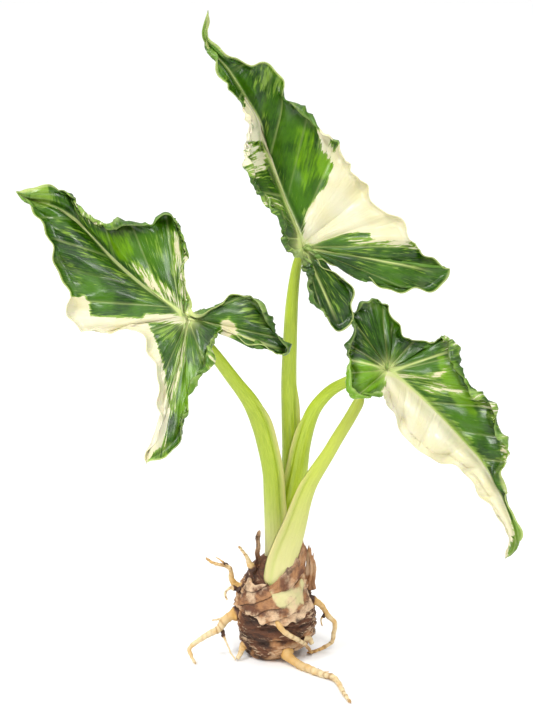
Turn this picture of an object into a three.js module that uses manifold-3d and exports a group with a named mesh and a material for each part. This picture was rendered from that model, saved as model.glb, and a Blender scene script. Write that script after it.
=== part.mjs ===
// A variegated alocasia, bare-rooted, standing on its corm. Millimetres, +Z up.
// The origin is the middle of the corm's flat base, and the front of the plant looks along -Y.
import * as THREE from 'three';
import { mergeVertices } from 'three/addons/utils/BufferGeometryUtils.js';
import Module from 'manifold-3d';

const wasm = await Module();
wasm.setup();

// Driving dimensions.
const GAP = 0.3; // left between two pieces that touch
const BLADE_THICKNESS = 0.9;
const BLADE_ROWS = 34; // from the notch at the stalk to the tip
const BLADE_COLUMNS = 12; // from one margin to the other
const BLADE_ROLL = 0.55; // how much of each margin's roll the solid takes
const BOARD_LEAN = THREE.MathUtils.degToRad(18);
const CORM_PROFILE = [ // radius, height
  [11, 0], [14.5, 2.5], [17.5, 9], [19.8, 17], [20.3, 24], [18.6, 33], [16, 42], [13.5, 48], [8, 53],
];
const CORM_TOP = 55;
const CORM_SHIFT = 4; // the belly of the corm stands to the right of its base
const CORM_FOOT = 7; // height over which that shift comes in
const CORM_SIDES = 24;
const CORM_LUMPS = [ // share of the radius, how many go round, how far they slant with height
  [0.035, 3, 0.16], [0.02, 5, -0.3],
];
const STALK_SIDES = 12;
const STALK_STEPS = 14;
const ROOT_SIDES = 7;
const ROOT_STEPS = 10;
const ROOT_MIDDLE = 0.6; // where a root is halfway between its two thicknesses

// The least roll, rolled width and unrolled share of a side vein, which keep the blade's shape sound.
const LEAST_ROLL = 0.05;
const LEAST_ROLLED = 0.1;
const LEAST_FLAT = 0.3;

// A limb's ends are rounded: a smaller ring at the very end, and the full ring a little way in.
const END_RING = 0.7;
const END_INSET = 0.3;
const FRAME_STEPS = 200;

// Shapes closer than this are one point.
const MERGE_DISTANCE = 1e-3;
const LEAST_REACH = 0.01;

// Surfaces: colours of the pieces that don't carry their own, and roughness.
const CORM_COLOR = 0x6b4a33;
const ROOT_COLOR = 0x7b5638;
const COLLAR_COLOR = 0xb98f6a;
const BARK_ROUGHNESS = 0.85;
const LEAF_BASE_ROUGHNESS = 0.7;
const STALK_ROUGHNESS = 0.5;
const BLADE_ROUGHNESS = 0.4;

// The blades are drawn on a board that leans back. A place is [right, up, toward] from the blade's
// heart, where its stalk joins. A side vein is
// [start along the midrib, right, up, toward, arch, roll of the margin in degrees, width rolled],
// and the first three lengths say where it meets the margin. Tilt is how far the blade comes toward
// the front for each millimetre to the right and up.
const BLADES = [
  {
    name: 'blade_left',
    color: 0x5f7d4a,
    heart: [-39.5, -15, 185.5],
    tilt: [-0.05, -0.34],
    midrib: [
      [0, 0, 0], [-9, 7, -1], [-22, 16, -2], [-36, 28, -2], [-47, 40, -1],
      [-57, 50, 1], [-68, 56, 3], [-79, 59, 2], [-86, 63, 4],
    ],
    notch: [0, 17, -5, 0, 0, 60, 4],
    first: [
      [0, 14, -13, 1, 1, 150, 6],
      [0, 10, -26, 2, 1, 170, 7],
      [0, 1, -39, 0, 1, 150, 6],
      [0, -1, -52, -1, 1, 110, 5],
      [0, -7, -64, -2, 1, 80, 4],
      [0, -20, -71, -4, 0, 30, 2],
      [0, -13, -55, -1, 1, 50, 4],
      [0, -14, -34, 1, 1, 60, 4],
      [0, -20, -11, 2, 0, 60, 4],
      [0.03, -32, -5, 0, 0, 70, 4],
      [0.1, -49, -7, -1, 1, 80, 5],
      [0.18, -57, 0, 0, 1, 80, 5],
      [0.28, -60, 16, 1, 1, 50, 4],
      [0.42, -67, 32, 3, 2, 60, 4],
      [0.58, -70, 45, 3, 2, 60, 4],
      [0.76, -78, 54, 1, 1, 50, 3],
    ],
    second: [
      [0, 25, -9, -2, 0, 60, 3],
      [0, 38, -15, -4, 1, 60, 4],
      [0, 50, -17, -6, 1, 120, 5],
      [0, 43, -4, -3, 1, 150, 6],
      [0, 30, 12, 1, 1, 90, 4],
      [0, 14, 5, 1, 1, 60, 3],
      [0.01, 1, 3, 1, 0, 40, 2],
      [0.02, 0, 13, 2, 0, 60, 3],
      [0.03, -2, 25, 4, -1, 80, 4],
      [0.03, -2, 40, 6, -1, 150, 6],
      [0.05, -8, 51, 7, -1, 110, 5],
      [0.1, -20, 48, 5, -1, 120, 6],
      [0.22, -34, 49, 7, -2, 160, 7],
      [0.38, -42, 48, 4, -1, 160, 7],
      [0.52, -56, 57, 4, -1, 140, 5],
      [0.64, -62, 65, 7, 1, 90, 4],
      [0.78, -71, 65, 8, 1, 60, 3],
    ],
  },
  {
    name: 'blade_top',
    color: 0x55753f,
    heart: [17.5, -3, 218.5],
    tilt: [-0.1, -0.05],
    midrib: [
      [0, 0, 0], [-3, 9, -1], [-8, 21, -3], [-14, 37, -4], [-19, 49, -4], [-21, 61, -3],
      [-28, 73, -1], [-37, 87, 1], [-45, 96, 3], [-50, 104, 3], [-47, 116, 6],
    ],
    notch: [0, 6, -6, 0, 0, 40, 3],
    first: [
      [0, 16, -14, 0, 1, 50, 3],
      [0, 24, -23, -1, 1, 50, 3],
      [0, 24, -34, -2, 1, 50, 3],
      [0, 18, -41, -2, 1, 60, 4],
      [0, 9, -34, 1, 1, 120, 5],
      [0, 3, -24, 3, 1, 150, 6],
      [0, 2, -13, 4, 1, 150, 6],
      [0, -2, -6, 5, 1, 150, 5],
      [0.03, -10, -1, 7, 1, 160, 6],
      [0.08, -12, 12, 9, 1, 170, 7],
      [0.16, -18, 20, 9, 1, 160, 6],
      [0.28, -26, 31, 10, 1, 160, 6],
      [0.42, -29, 46, 10, 1, 140, 5],
      [0.54, -27, 60, 8, 1, 120, 5],
      [0.68, -37, 79, 6, 1, 80, 4],
      [0.84, -46, 95, 2, 0, 50, 2],
    ],
    second: [
      [0, 21, -11, 0, 1, 30, 3],
      [0, 38, -19, -1, 2, 40, 3],
      [0, 55, -22, -2, 2, 50, 4],
      [0, 67, -19, -4, 2, 50, 4],
      [0, 73, -10, -6, 1, 30, 2],
      [0, 61, -6, -2, 2, 60, 4],
      [0, 53, 5, 2, 1, 70, 4],
      [0.03, 44, 15, 3, -1, 60, 4],
      [0.08, 34, 22, 2, -2, 60, 4],
      [0.14, 23, 40, 5, -2, 90, 5],
      [0.24, 13, 53, 5, -2, 100, 6],
      [0.36, 3, 65, 5, -2, 150, 6],
      [0.48, -7, 73, 5, -2, 120, 5],
      [0.58, -11, 82, 3, -1, 50, 4],
      [0.68, -20, 90, 4, 0, 50, 3],
      [0.8, -33, 91, 2, 0, 60, 3],
      [0.92, -45, 101, 3, 0, 40, 2],
    ],
  },
  {
    name: 'blade_right',
    color: 0x86a05c,
    heart: [59.5, -14, 158.5],
    tilt: [-0.24, -0.25],
    midrib: [
      [0, 0, 0], [7, -5, -1], [18, -15, -2], [28, -25, -2], [38, -36, -2], [46, -45, -2],
      [52, -55, -1], [58, -68, 1], [62, -81, 2], [61, -89, 2], [57, -93, 0],
    ],
    notch: [0, -9, 34, 6, 2, 100, 4],
    first: [
      [0, -19, 29, 4, 2, 140, 6],
      [0, -18, 21, 3, 2, 130, 7],
      [0, -22, 8, 2, 3, 120, 7],
      [0, -21, -2, 3, 3, 120, 7],
      [0, -21, -11, 6, 1, 140, 7],
      [0, -14, -15, 8, -1, 150, 7],
      [0, -4, -12, 6, -1, 110, 5],
      [0.06, 1, -20, -1, 3, 20, 3],
      [0.18, 9, -34, -3, 3, 20, 3],
      [0.32, 19, -43, -3, 3, 20, 3],
      [0.46, 30, -46, -2, 2, 30, 3],
      [0.58, 40, -54, -1, 1, 30, 3],
      [0.72, 50, -68, 0, 1, 30, 2],
      [0.86, 59, -80, 1, 0, 20, 2],
    ],
    second: [
      [0, -7, 36, 3, 2, 100, 4],
      [0, -1, 33, 1, 2, 90, 4],
      [0, 2, 24, 1, 1, 60, 4],
      [0, 9, 17, 3, 0, 90, 5],
      [0.03, 21, 13, 1, -1, 70, 4],
      [0.06, 32, 17, 7, -3, 150, 7],
      [0.12, 36, 4, 9, -3, 170, 8],
      [0.22, 45, -12, 7, -3, 160, 8],
      [0.34, 54, -18, 8, -3, 140, 8],
      [0.44, 56, -32, 6, -3, 150, 7],
      [0.54, 60, -40, 7, -2, 120, 6],
      [0.66, 55, -55, 2, 0, 60, 3],
      [0.78, 60, -68, 1, 0, 50, 3],
      [0.9, 65, -81, 1, 0, 30, 2],
    ],
  },
];

// A limb follows its path, and its sections are [fraction of its length, width, depth].
const STALKS = [
  {
    name: 'petiole_outer_right',
    color: 0xd7d79f,
    path: [
      [5, -10, 44], [7, -12, 57], [13, -11.5, 74], [18, -10.5, 90], [22, -10, 99],
      [30, -9, 112], [34.5, -8.5, 120], [40.5, -7.5, 130], [45, -6, 138], [47, -6, 143],
    ],
    sections: [[0, 19, 9], [0.2, 14, 8], [0.4, 10, 7.5], [0.55, 8, 7], [0.7, 6.5, 6], [1, 5.5, 5.5]],
  },
  {
    name: 'petiole_left',
    color: 0xb9c47c,
    path: [
      [4, 1, 44], [4, 1, 62], [3, 1, 84], [2, 0, 100], [-1, -1, 116], [-4, -2, 127],
      [-9, -3, 138], [-17, -5, 150], [-27, -8, 165], [-35, -10, 176], [-39, -10.5, 183.5],
    ],
    sections: [[0, 12, 9], [0.35, 10, 8], [0.55, 10, 7], [0.7, 7, 6], [0.85, 6, 5.5], [1, 4, 4]],
  },
  {
    name: 'petiole_inner_right',
    color: 0xa9ba6a,
    path: [
      [9, 5, 44], [10, 5, 57], [12, 5, 80], [15, 4, 99], [17, 3, 112], [20, 2, 124],
      [24, 0, 134], [31, -2, 143], [39, -5, 149], [49, -7, 154], [58, -9.5, 157.5],
    ],
    sections: [[0, 13, 8], [0.3, 12, 7.5], [0.5, 9, 6.5], [0.7, 6.5, 6], [1, 4, 4]],
  },
  {
    name: 'petiole_centre',
    color: 0xb4c275,
    path: [
      [9, 11, 44], [10, 11, 62], [10.5, 11, 81], [11.5, 10, 103], [11, 9, 125], [10.5, 7, 146],
      [11, 5, 168], [12, 4, 189], [14, 3, 206], [17, 1.5, 216.5],
    ],
    sections: [[0, 12, 8], [0.3, 9, 7], [0.55, 8, 7], [0.8, 6.5, 6], [1, 4, 4]],
  },
];

const LEAF_BASES = [
  {
    name: 'leaf_base_right',
    color: 0x8a6a43,
    path: [[14, -16.8, 44], [14.5, -16.6, 50], [16.5, -13.5, 57], [18.2, -9.5, 64]],
    sections: [[0, 9, 1.6], [0.4, 6.5, 1.5], [1, 1.6, 1.2]],
  },
  {
    name: 'leaf_base_far_right',
    color: 0xb08f62,
    path: [[20.5, 1, 34], [21.5, 1, 41], [22, 1, 48], [21, 1, 55]],
    sections: [[0, 7, 1.6], [0.6, 5, 1.4], [1, 2, 1.2]],
  },
  {
    name: 'leaf_base_left',
    color: 0xc4b486,
    path: [[-6, -6, 44], [-5.5, -5.5, 51], [-5, -4.5, 59], [-5, -3, 68]],
    sections: [[0, 7, 1.6], [0.3, 3.4, 1.3], [1, 1.2, 1.2]],
  },
];

// The front leaf base is a collar patch that lies on the corm.
// From and to are turns in degrees, low and high its edges, and dip how far its lower edge sags. The
// lower edge is wavy, and the collar flares a little toward its upper edge.
const COLLAR = {
  from: -155, to: -25, low: 29, dip: 5, wave: 9, high: 44, flare: 0.6, thickness: 1.4, rows: 6, columns: 16,
};

// Roots are [path, thickness at the corm, thickness at the tip].
const ROOTS = [
  ['root_front_long', [
    [9, -10, 7], [10, -16, 5], [15, -21, 2.5], [20, -26, 2.2], [27, -32, 2], [34, -38, 1.7],
    [38, -54, 1.4], [41, -64, 1],
  ], 5, 1.6],
  ['root_front_upper', [
    [4, -14, 27], [6, -21, 23], [10, -21.5, 19], [15, -19, 15], [19, -14, 10], [22, -7, 3],
    [23, -4, 0.8],
  ], 3.8, 1.5],
  ['root_right_loop', [
    [19, 0, 29], [25, -1, 28], [28, 0, 25], [31, 0, 20], [34.5, 0, 16], [34, 0, 10], [33, 0, 5],
    [29, -1, 2.5], [26.5, -1, 0.9],
  ], 3.2, 1.6],
  ['root_left_upper', [
    [-10, -2, 35], [-15.5, -2, 37], [-18.5, -2, 41], [-20, -3, 48], [-28, -4, 51], [-32, -4, 54],
  ], 4, 1.2],
  ['root_left_top', [[-6, -5, 47], [-9, -7, 51], [-11, -7.5, 56], [-15, -8, 62]], 2.6, 1.2],
  ['root_left_mid', [
    [-12, -2, 23], [-18, -4, 22], [-22, -6, 20], [-25.5, -8, 16], [-31, -10, 13.5], [-40, -13, 8],
    [-39.5, -15, 4.5], [-37, -18, 0.8],
  ], 5, 1.5],
  ['root_left_low', [[-8, -8, 9], [-12.5, -9, 7], [-14, -11, 4], [-16, -13, 1.3]], 3.6, 2.2],
  ['root_right_stub', [[16, -8, 13], [21, -8.5, 11], [23, -9, 8]], 4, 2.4],
  ['root_left_fibre', [[-14, -4, 36], [-19, -5, 37.5], [-22, -5.5, 35], [-21, -6, 31]], 1.4, 1.1],
  ['root_back_left', [
    [-3, 12, 12], [-5, 18, 10], [-8, 24, 6], [-10, 30, 2], [-12, 37, 1],
  ], 4.4, 1.6],
  ['root_back_middle', [
    [4, 14, 9], [5, 20, 7], [5, 27, 3], [7, 35, 1.4], [6, 44, 0.9],
  ], 4.8, 1.6],
  ['root_back_right', [
    [13, 10, 14], [18, 17, 12], [21, 24, 7], [22, 31, 2.2], [23, 38, 1],
  ], 4, 1.6],
];

// Reads a list of [fraction, value, value, ...] at one fraction.
function between(list, fraction) {
  const last = list.length - 1;
  let i = 1;
  while (i < last && list[i][0] < fraction) i += 1;
  const [low, high] = [list[i - 1], list[i]];
  const share = THREE.MathUtils.clamp((fraction - low[0]) / (high[0] - low[0]), 0, 1);
  return low.map((value, k) => value + (high[k] - value) * share);
}

function curveThrough(points) {
  const vectors = points.map((point) => new THREE.Vector3(...point));
  return new THREE.CatmullRomCurve3(vectors, false, 'catmullrom', 0.5);
}

// Merges the vertices of a shape and drops its flat slivers.
function weld(shape) {
  shape.deleteAttribute('normal');
  shape.deleteAttribute('uv');
  const merged = mergeVertices(shape, MERGE_DISTANCE);
  const from = Array.from(merged.index.array);
  const kept = [];
  for (let i = 0; i < from.length; i += 3) {
    const [a, b, c] = from.slice(i, i + 3);
    if (a !== b && b !== c && c !== a) kept.push(a, b, c);
  }
  merged.setIndex(kept);
  return merged;
}

// The volume inside a closed shape, negative where its faces look inward.
function volumeOf(shape) {
  const at = shape.attributes.position;
  const index = shape.index.array;
  const [a, b, c] = [new THREE.Vector3(), new THREE.Vector3(), new THREE.Vector3()];
  let sum = 0;
  for (let i = 0; i < index.length; i += 3) {
    a.fromBufferAttribute(at, index[i]);
    b.fromBufferAttribute(at, index[i + 1]);
    c.fromBufferAttribute(at, index[i + 2]);
    sum += a.dot(b.cross(c)) / 6;
  }
  return sum;
}

function faceOutward(shape) {
  if (volumeOf(shape) < 0) shape.setIndex(Array.from(shape.index.array).reverse());
  return shape;
}

function toSolid(shape) {
  const vertProperties = Float32Array.from(shape.attributes.position.array);
  const triVerts = Uint32Array.from(shape.index.array);
  return new wasm.Manifold(new wasm.Mesh({ numProp: 3, vertProperties, triVerts }));
}

// Cuts the tools away from a shape and keeps its largest piece.
function cut(shape, tools) {
  let solid = toSolid(shape);
  for (const tool of tools) solid = solid.subtract(toSolid(tool));
  const pieces = solid.decompose().sort((a, b) => b.volume() - a.volume());
  const mesh = pieces[0].getMesh();
  const result = new THREE.BufferGeometry();
  result.setAttribute('position', new THREE.BufferAttribute(mesh.vertProperties, 3));
  result.setIndex(Array.from(mesh.triVerts));
  return weld(result);
}

// Gives a thin sheet its thickness: one skin each side, and a wall along its free edge.
function thicken(sheet, thickness) {
  const middle = weld(sheet);
  middle.computeVertexNormals();
  const at = middle.attributes.position;
  const normal = middle.attributes.normal;
  const count = at.count;
  const places = new Float32Array(count * 6);
  for (let i = 0; i < count; i += 1) {
    const point = new THREE.Vector3().fromBufferAttribute(at, i);
    const half = new THREE.Vector3().fromBufferAttribute(normal, i).multiplyScalar(thickness / 2);
    point.clone().add(half).toArray(places, i * 3);
    point.clone().sub(half).toArray(places, (count + i) * 3);
  }
  const faces = Array.from(middle.index.array);
  const edges = new Set();
  for (let i = 0; i < faces.length; i += 3) {
    for (let k = 0; k < 3; k += 1) edges.add(`${faces[i + k]} ${faces[i + ((k + 1) % 3)]}`);
  }
  const index = [...faces];
  for (let i = 0; i < faces.length; i += 3) {
    index.push(count + faces[i + 2], count + faces[i + 1], count + faces[i]);
  }
  for (const edge of edges) {
    const [a, b] = edge.split(' ').map(Number);
    if (!edges.has(`${b} ${a}`)) index.push(b, a, count + a, b, count + a, count + b);
  }
  const solid = new THREE.BufferGeometry();
  solid.setAttribute('position', new THREE.BufferAttribute(places, 3));
  solid.setIndex(index);
  return faceOutward(solid);
}

function bladeHalf(blade, veins) {
  const tip = [1, ...blade.midrib.at(-1), 0, 0, 0];
  const all = [blade.notch, ...veins, tip];
  return {
    margin: curveThrough(all.map((vein) => vein.slice(1, 4))),
    start: curveThrough(all.map((vein) => [vein[0], vein[4], 0])),
    roll: curveThrough(all.map((vein) => [vein[5], vein[6], 0])),
  };
}

// A point of the blade: along runs from the notch to the tip, and across from one margin (-1) over
// the midrib (0) to the other (1). The last part of each side vein is rolled toward the front.
function bladePoint(blade, halves, midrib, along, across) {
  const half = across < 0 ? halves[0] : halves[1];
  const [begin, arch] = half.start.getPoint(along).toArray();
  const [degrees, width] = half.roll.getPoint(along).toArray();
  const angle = Math.max(THREE.MathUtils.degToRad(degrees) * BLADE_ROLL, LEAST_ROLL);
  const radius = Math.max(width, LEAST_ROLLED) / angle;
  const centre = midrib.getPoint(THREE.MathUtils.clamp(begin, 0, 1));
  const rim = half.margin.getPoint(along);
  const vein = rim.clone().sub(centre);
  const reach = vein.length();
  const curled = radius * Math.sin(Math.min(angle, Math.PI / 2));
  const flat = Math.max(reach - curled, reach * LEAST_FLAT);
  const travelled = Math.abs(across) * (flat + width);
  const place = centre.clone();
  if (reach > LEAST_REACH && travelled <= flat) {
    const share = travelled / flat;
    place.addScaledVector(vein, (share * flat) / reach);
    place.z += arch * 4 * share * (1 - share);
  } else if (reach > LEAST_REACH) {
    const turned = (travelled - flat) / radius;
    place.addScaledVector(vein, (flat + radius * Math.sin(turned)) / reach);
    place.z += radius * (1 - Math.cos(turned));
  }
  const toward = place.z + blade.tilt[0] * place.x + blade.tilt[1] * place.y;
  const [heartX, heartY, heartZ] = blade.heart;
  return new THREE.Vector3(
    heartX + place.x,
    heartY + place.y * Math.sin(BOARD_LEAN) - toward * Math.cos(BOARD_LEAN),
    heartZ + place.y * Math.cos(BOARD_LEAN) + toward * Math.sin(BOARD_LEAN),
  );
}

function makeBlade(blade) {
  const sheet = new THREE.PlaneGeometry(2, 1, BLADE_COLUMNS, BLADE_ROWS);
  const halves = [bladeHalf(blade, blade.first), bladeHalf(blade, blade.second)];
  const midrib = curveThrough(blade.midrib);
  const at = sheet.attributes.position;
  for (let i = 0; i < at.count; i += 1) {
    const point = bladePoint(blade, halves, midrib, at.getY(i) + 0.5, at.getX(i));
    at.setXYZ(i, point.x, point.y, point.z);
  }
  return thicken(sheet, BLADE_THICKNESS);
}

// A closed limb: a lathe-turned rod of unit radius, bent along its path and shaped by its sections.
function makeLimb({ path, sections, sides, steps, facesFront }, grow = 0) {
  const curve = curveThrough(path);
  const profile = [new THREE.Vector2(0, 0), new THREE.Vector2(END_RING, 0)];
  for (let i = 0; i <= steps; i += 1) {
    profile.push(new THREE.Vector2(1, (i + END_INSET) / (steps + 2 * END_INSET)));
  }
  profile.push(new THREE.Vector2(END_RING, 1), new THREE.Vector2(0, 1));
  const rod = new THREE.LatheGeometry(profile, sides);
  const frames = curve.computeFrenetFrames(FRAME_STEPS, false);
  const front = new THREE.Vector3(0, -1, 0);
  const at = rod.attributes.position;
  for (let i = 0; i < at.count; i += 1) {
    const fraction = at.getY(i);
    const [, width, depth] = between(sections, fraction);
    const tangent = curve.getTangentAt(fraction);
    const side = facesFront
      ? new THREE.Vector3().crossVectors(tangent, front).normalize()
      : frames.normals[Math.round(fraction * FRAME_STEPS)].clone();
    const face = new THREE.Vector3().crossVectors(side, tangent).normalize();
    const place = curve.getPointAt(fraction);
    place.addScaledVector(side, at.getX(i) * (width / 2 + grow));
    place.addScaledVector(face, at.getZ(i) * (depth / 2 + grow));
    if (fraction === 0) place.addScaledVector(tangent, -grow);
    if (fraction === 1) place.addScaledVector(tangent, grow);
    at.setXYZ(i, place.x, place.y, Math.max(place.z, 0));
  }
  return faceOutward(weld(rod));
}

function cormRadius(height) {
  const byHeight = CORM_PROFILE.map(([radius, level]) => [level, radius]);
  return between([...byHeight, [CORM_TOP, 0]], height)[1];
}

// A point on the corm's uneven skin, at a turn round its axis and a height.
function cormPoint(turn, height, radius) {
  let lumpy = radius;
  for (const [size, count, slant] of CORM_LUMPS) {
    lumpy += radius * size * Math.sin(count * turn + slant * height);
  }
  const shift = CORM_SHIFT * THREE.MathUtils.smoothstep(height, 0, CORM_FOOT);
  return new THREE.Vector3(shift + lumpy * Math.cos(turn), lumpy * Math.sin(turn), height);
}

function makeCorm(grow = 0) {
  const profile = [new THREE.Vector2(0, -grow)];
  for (const [radius, height] of CORM_PROFILE) {
    profile.push(new THREE.Vector2(radius + grow, height === 0 ? -grow : height));
  }
  profile.push(new THREE.Vector2(0, CORM_TOP + grow));
  const body = new THREE.LatheGeometry(profile, CORM_SIDES);
  const at = body.attributes.position;
  for (let i = 0; i < at.count; i += 1) {
    const radius = Math.hypot(at.getX(i), at.getZ(i));
    const point = cormPoint(Math.atan2(at.getZ(i), at.getX(i)), at.getY(i), radius);
    at.setXYZ(i, point.x, point.y, point.z);
  }
  return faceOutward(weld(body));
}

function makeCollar(grow = 0) {
  const sheet = new THREE.PlaneGeometry(1, 1, COLLAR.columns, COLLAR.rows);
  const at = sheet.attributes.position;
  for (let i = 0; i < at.count; i += 1) {
    const share = at.getX(i) + 0.5;
    const rise = at.getY(i) + 0.5;
    const turn = THREE.MathUtils.degToRad(COLLAR.from + (COLLAR.to - COLLAR.from) * share);
    const low = COLLAR.low - COLLAR.dip * Math.sin(Math.PI * share) + Math.sin(COLLAR.wave * share);
    const height = low + (COLLAR.high - low) * rise;
    const stand = GAP * 2 + COLLAR.thickness / 2 + COLLAR.flare * rise;
    const point = cormPoint(turn, height, cormRadius(height) + stand);
    at.setXYZ(i, point.x, point.y, point.z);
  }
  return thicken(sheet, COLLAR.thickness + 2 * grow);
}

const plant = new THREE.Group();

function addPiece(name, shape, color, roughness) {
  const material = new THREE.MeshStandardMaterial({ color, roughness, metalness: 0 });
  const piece = new THREE.Mesh(shape, material);
  piece.name = name;
  plant.add(piece);
}

addPiece('corm', makeCorm(), CORM_COLOR, BARK_ROUGHNESS);
const grownCorm = makeCorm(GAP);

const grownRoots = [];
for (const [name, path, thick, thin] of ROOTS) {
  const middle = (thick + thin) / 2;
  const root = {
    path,
    sections: [[0, thick, thick], [ROOT_MIDDLE, middle, middle], [1, thin, thin]],
    sides: ROOT_SIDES,
    steps: ROOT_STEPS,
    facesFront: false,
  };
  addPiece(name, cut(makeLimb(root), [grownCorm, ...grownRoots]), ROOT_COLOR, BARK_ROUGHNESS);
  grownRoots.push(makeLimb(root, GAP));
}

const collar = cut(makeCollar(), [grownCorm, ...grownRoots]);
addPiece('leaf_base_front', collar, COLLAR_COLOR, LEAF_BASE_ROUGHNESS);

const standing = [grownCorm, makeCollar(GAP), ...grownRoots];
for (const stalk of [...STALKS, ...LEAF_BASES]) {
  const limb = { ...stalk, sides: STALK_SIDES, steps: STALK_STEPS, facesFront: true };
  addPiece(stalk.name, cut(makeLimb(limb), standing), stalk.color, STALK_ROUGHNESS);
  standing.push(makeLimb(limb, GAP));
}

for (const blade of BLADES) addPiece(blade.name, makeBlade(blade), blade.color, BLADE_ROUGHNESS);

export default plant;
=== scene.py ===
"""A bare-rooted variegated alocasia: its corm, roots, stalks and three blades, round the fixed frame."""
import math

import bpy
import numpy as np
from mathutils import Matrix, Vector, noise


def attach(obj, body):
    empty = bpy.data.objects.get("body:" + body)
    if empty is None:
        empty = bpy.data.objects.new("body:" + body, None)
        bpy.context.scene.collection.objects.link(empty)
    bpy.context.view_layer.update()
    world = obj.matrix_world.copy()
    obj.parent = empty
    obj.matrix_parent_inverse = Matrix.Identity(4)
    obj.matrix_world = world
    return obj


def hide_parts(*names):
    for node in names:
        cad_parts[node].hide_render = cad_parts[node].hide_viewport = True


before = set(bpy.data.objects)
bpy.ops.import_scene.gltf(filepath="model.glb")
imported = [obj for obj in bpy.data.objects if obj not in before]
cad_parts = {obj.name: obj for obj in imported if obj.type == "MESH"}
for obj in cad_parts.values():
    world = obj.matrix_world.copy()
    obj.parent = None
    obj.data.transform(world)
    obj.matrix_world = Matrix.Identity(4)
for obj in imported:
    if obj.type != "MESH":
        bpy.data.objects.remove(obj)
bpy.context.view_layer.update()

bl_info = {
    "name": "Alocasia plant",
    "version": (1, 0, 0),
    "blender": (4, 5, 0),
    "location": "3D View > Sidebar > Alocasia",
    "description": "Builds a variegated alocasia on its corm",
    "category": "Object",
}

MM = 0.001
BODY = "root"
BOARD_LEAN = math.radians(18)
# The visible margins are rolled wider and further than the side veins' own figures say.
ROLL_GAIN = 1.5
ROLL_TURN = 1.3
WELD_DISTANCE = 0.01

# Faces round or across, and along.
STALK_GRID = (96, 180)
LEAF_BASE_GRID = (64, 60)
ROOT_GRID = (28, 130)
CORM_GRID = (260, 200)
COLLAR_GRID = (220, 90)

# What each point of a blade stores for its colours.
KINDS = ("cream", "light", "lime_glow", "vein", "crease_shade", "rim", "rolled")

# Lights are (name, place, what it faces or None for the plant, width, power). Lengths are metres.
LIGHTS = (
    ("key", (-0.95, -0.75, 1.2), None, 0.45, 15),
    ("fill", (1.2, -0.8, 0.5), None, 0.7, 3),
    ("sheen", (0.3, -1.1, 1.4), None, 0.45, 12),
    ("top", (0, 1.2, 2.4), (0, 1.2, 0), 3.6, 63),
)
ROOM_LIGHT = 0.38
FLOOR_GREY = 0.93
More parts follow.
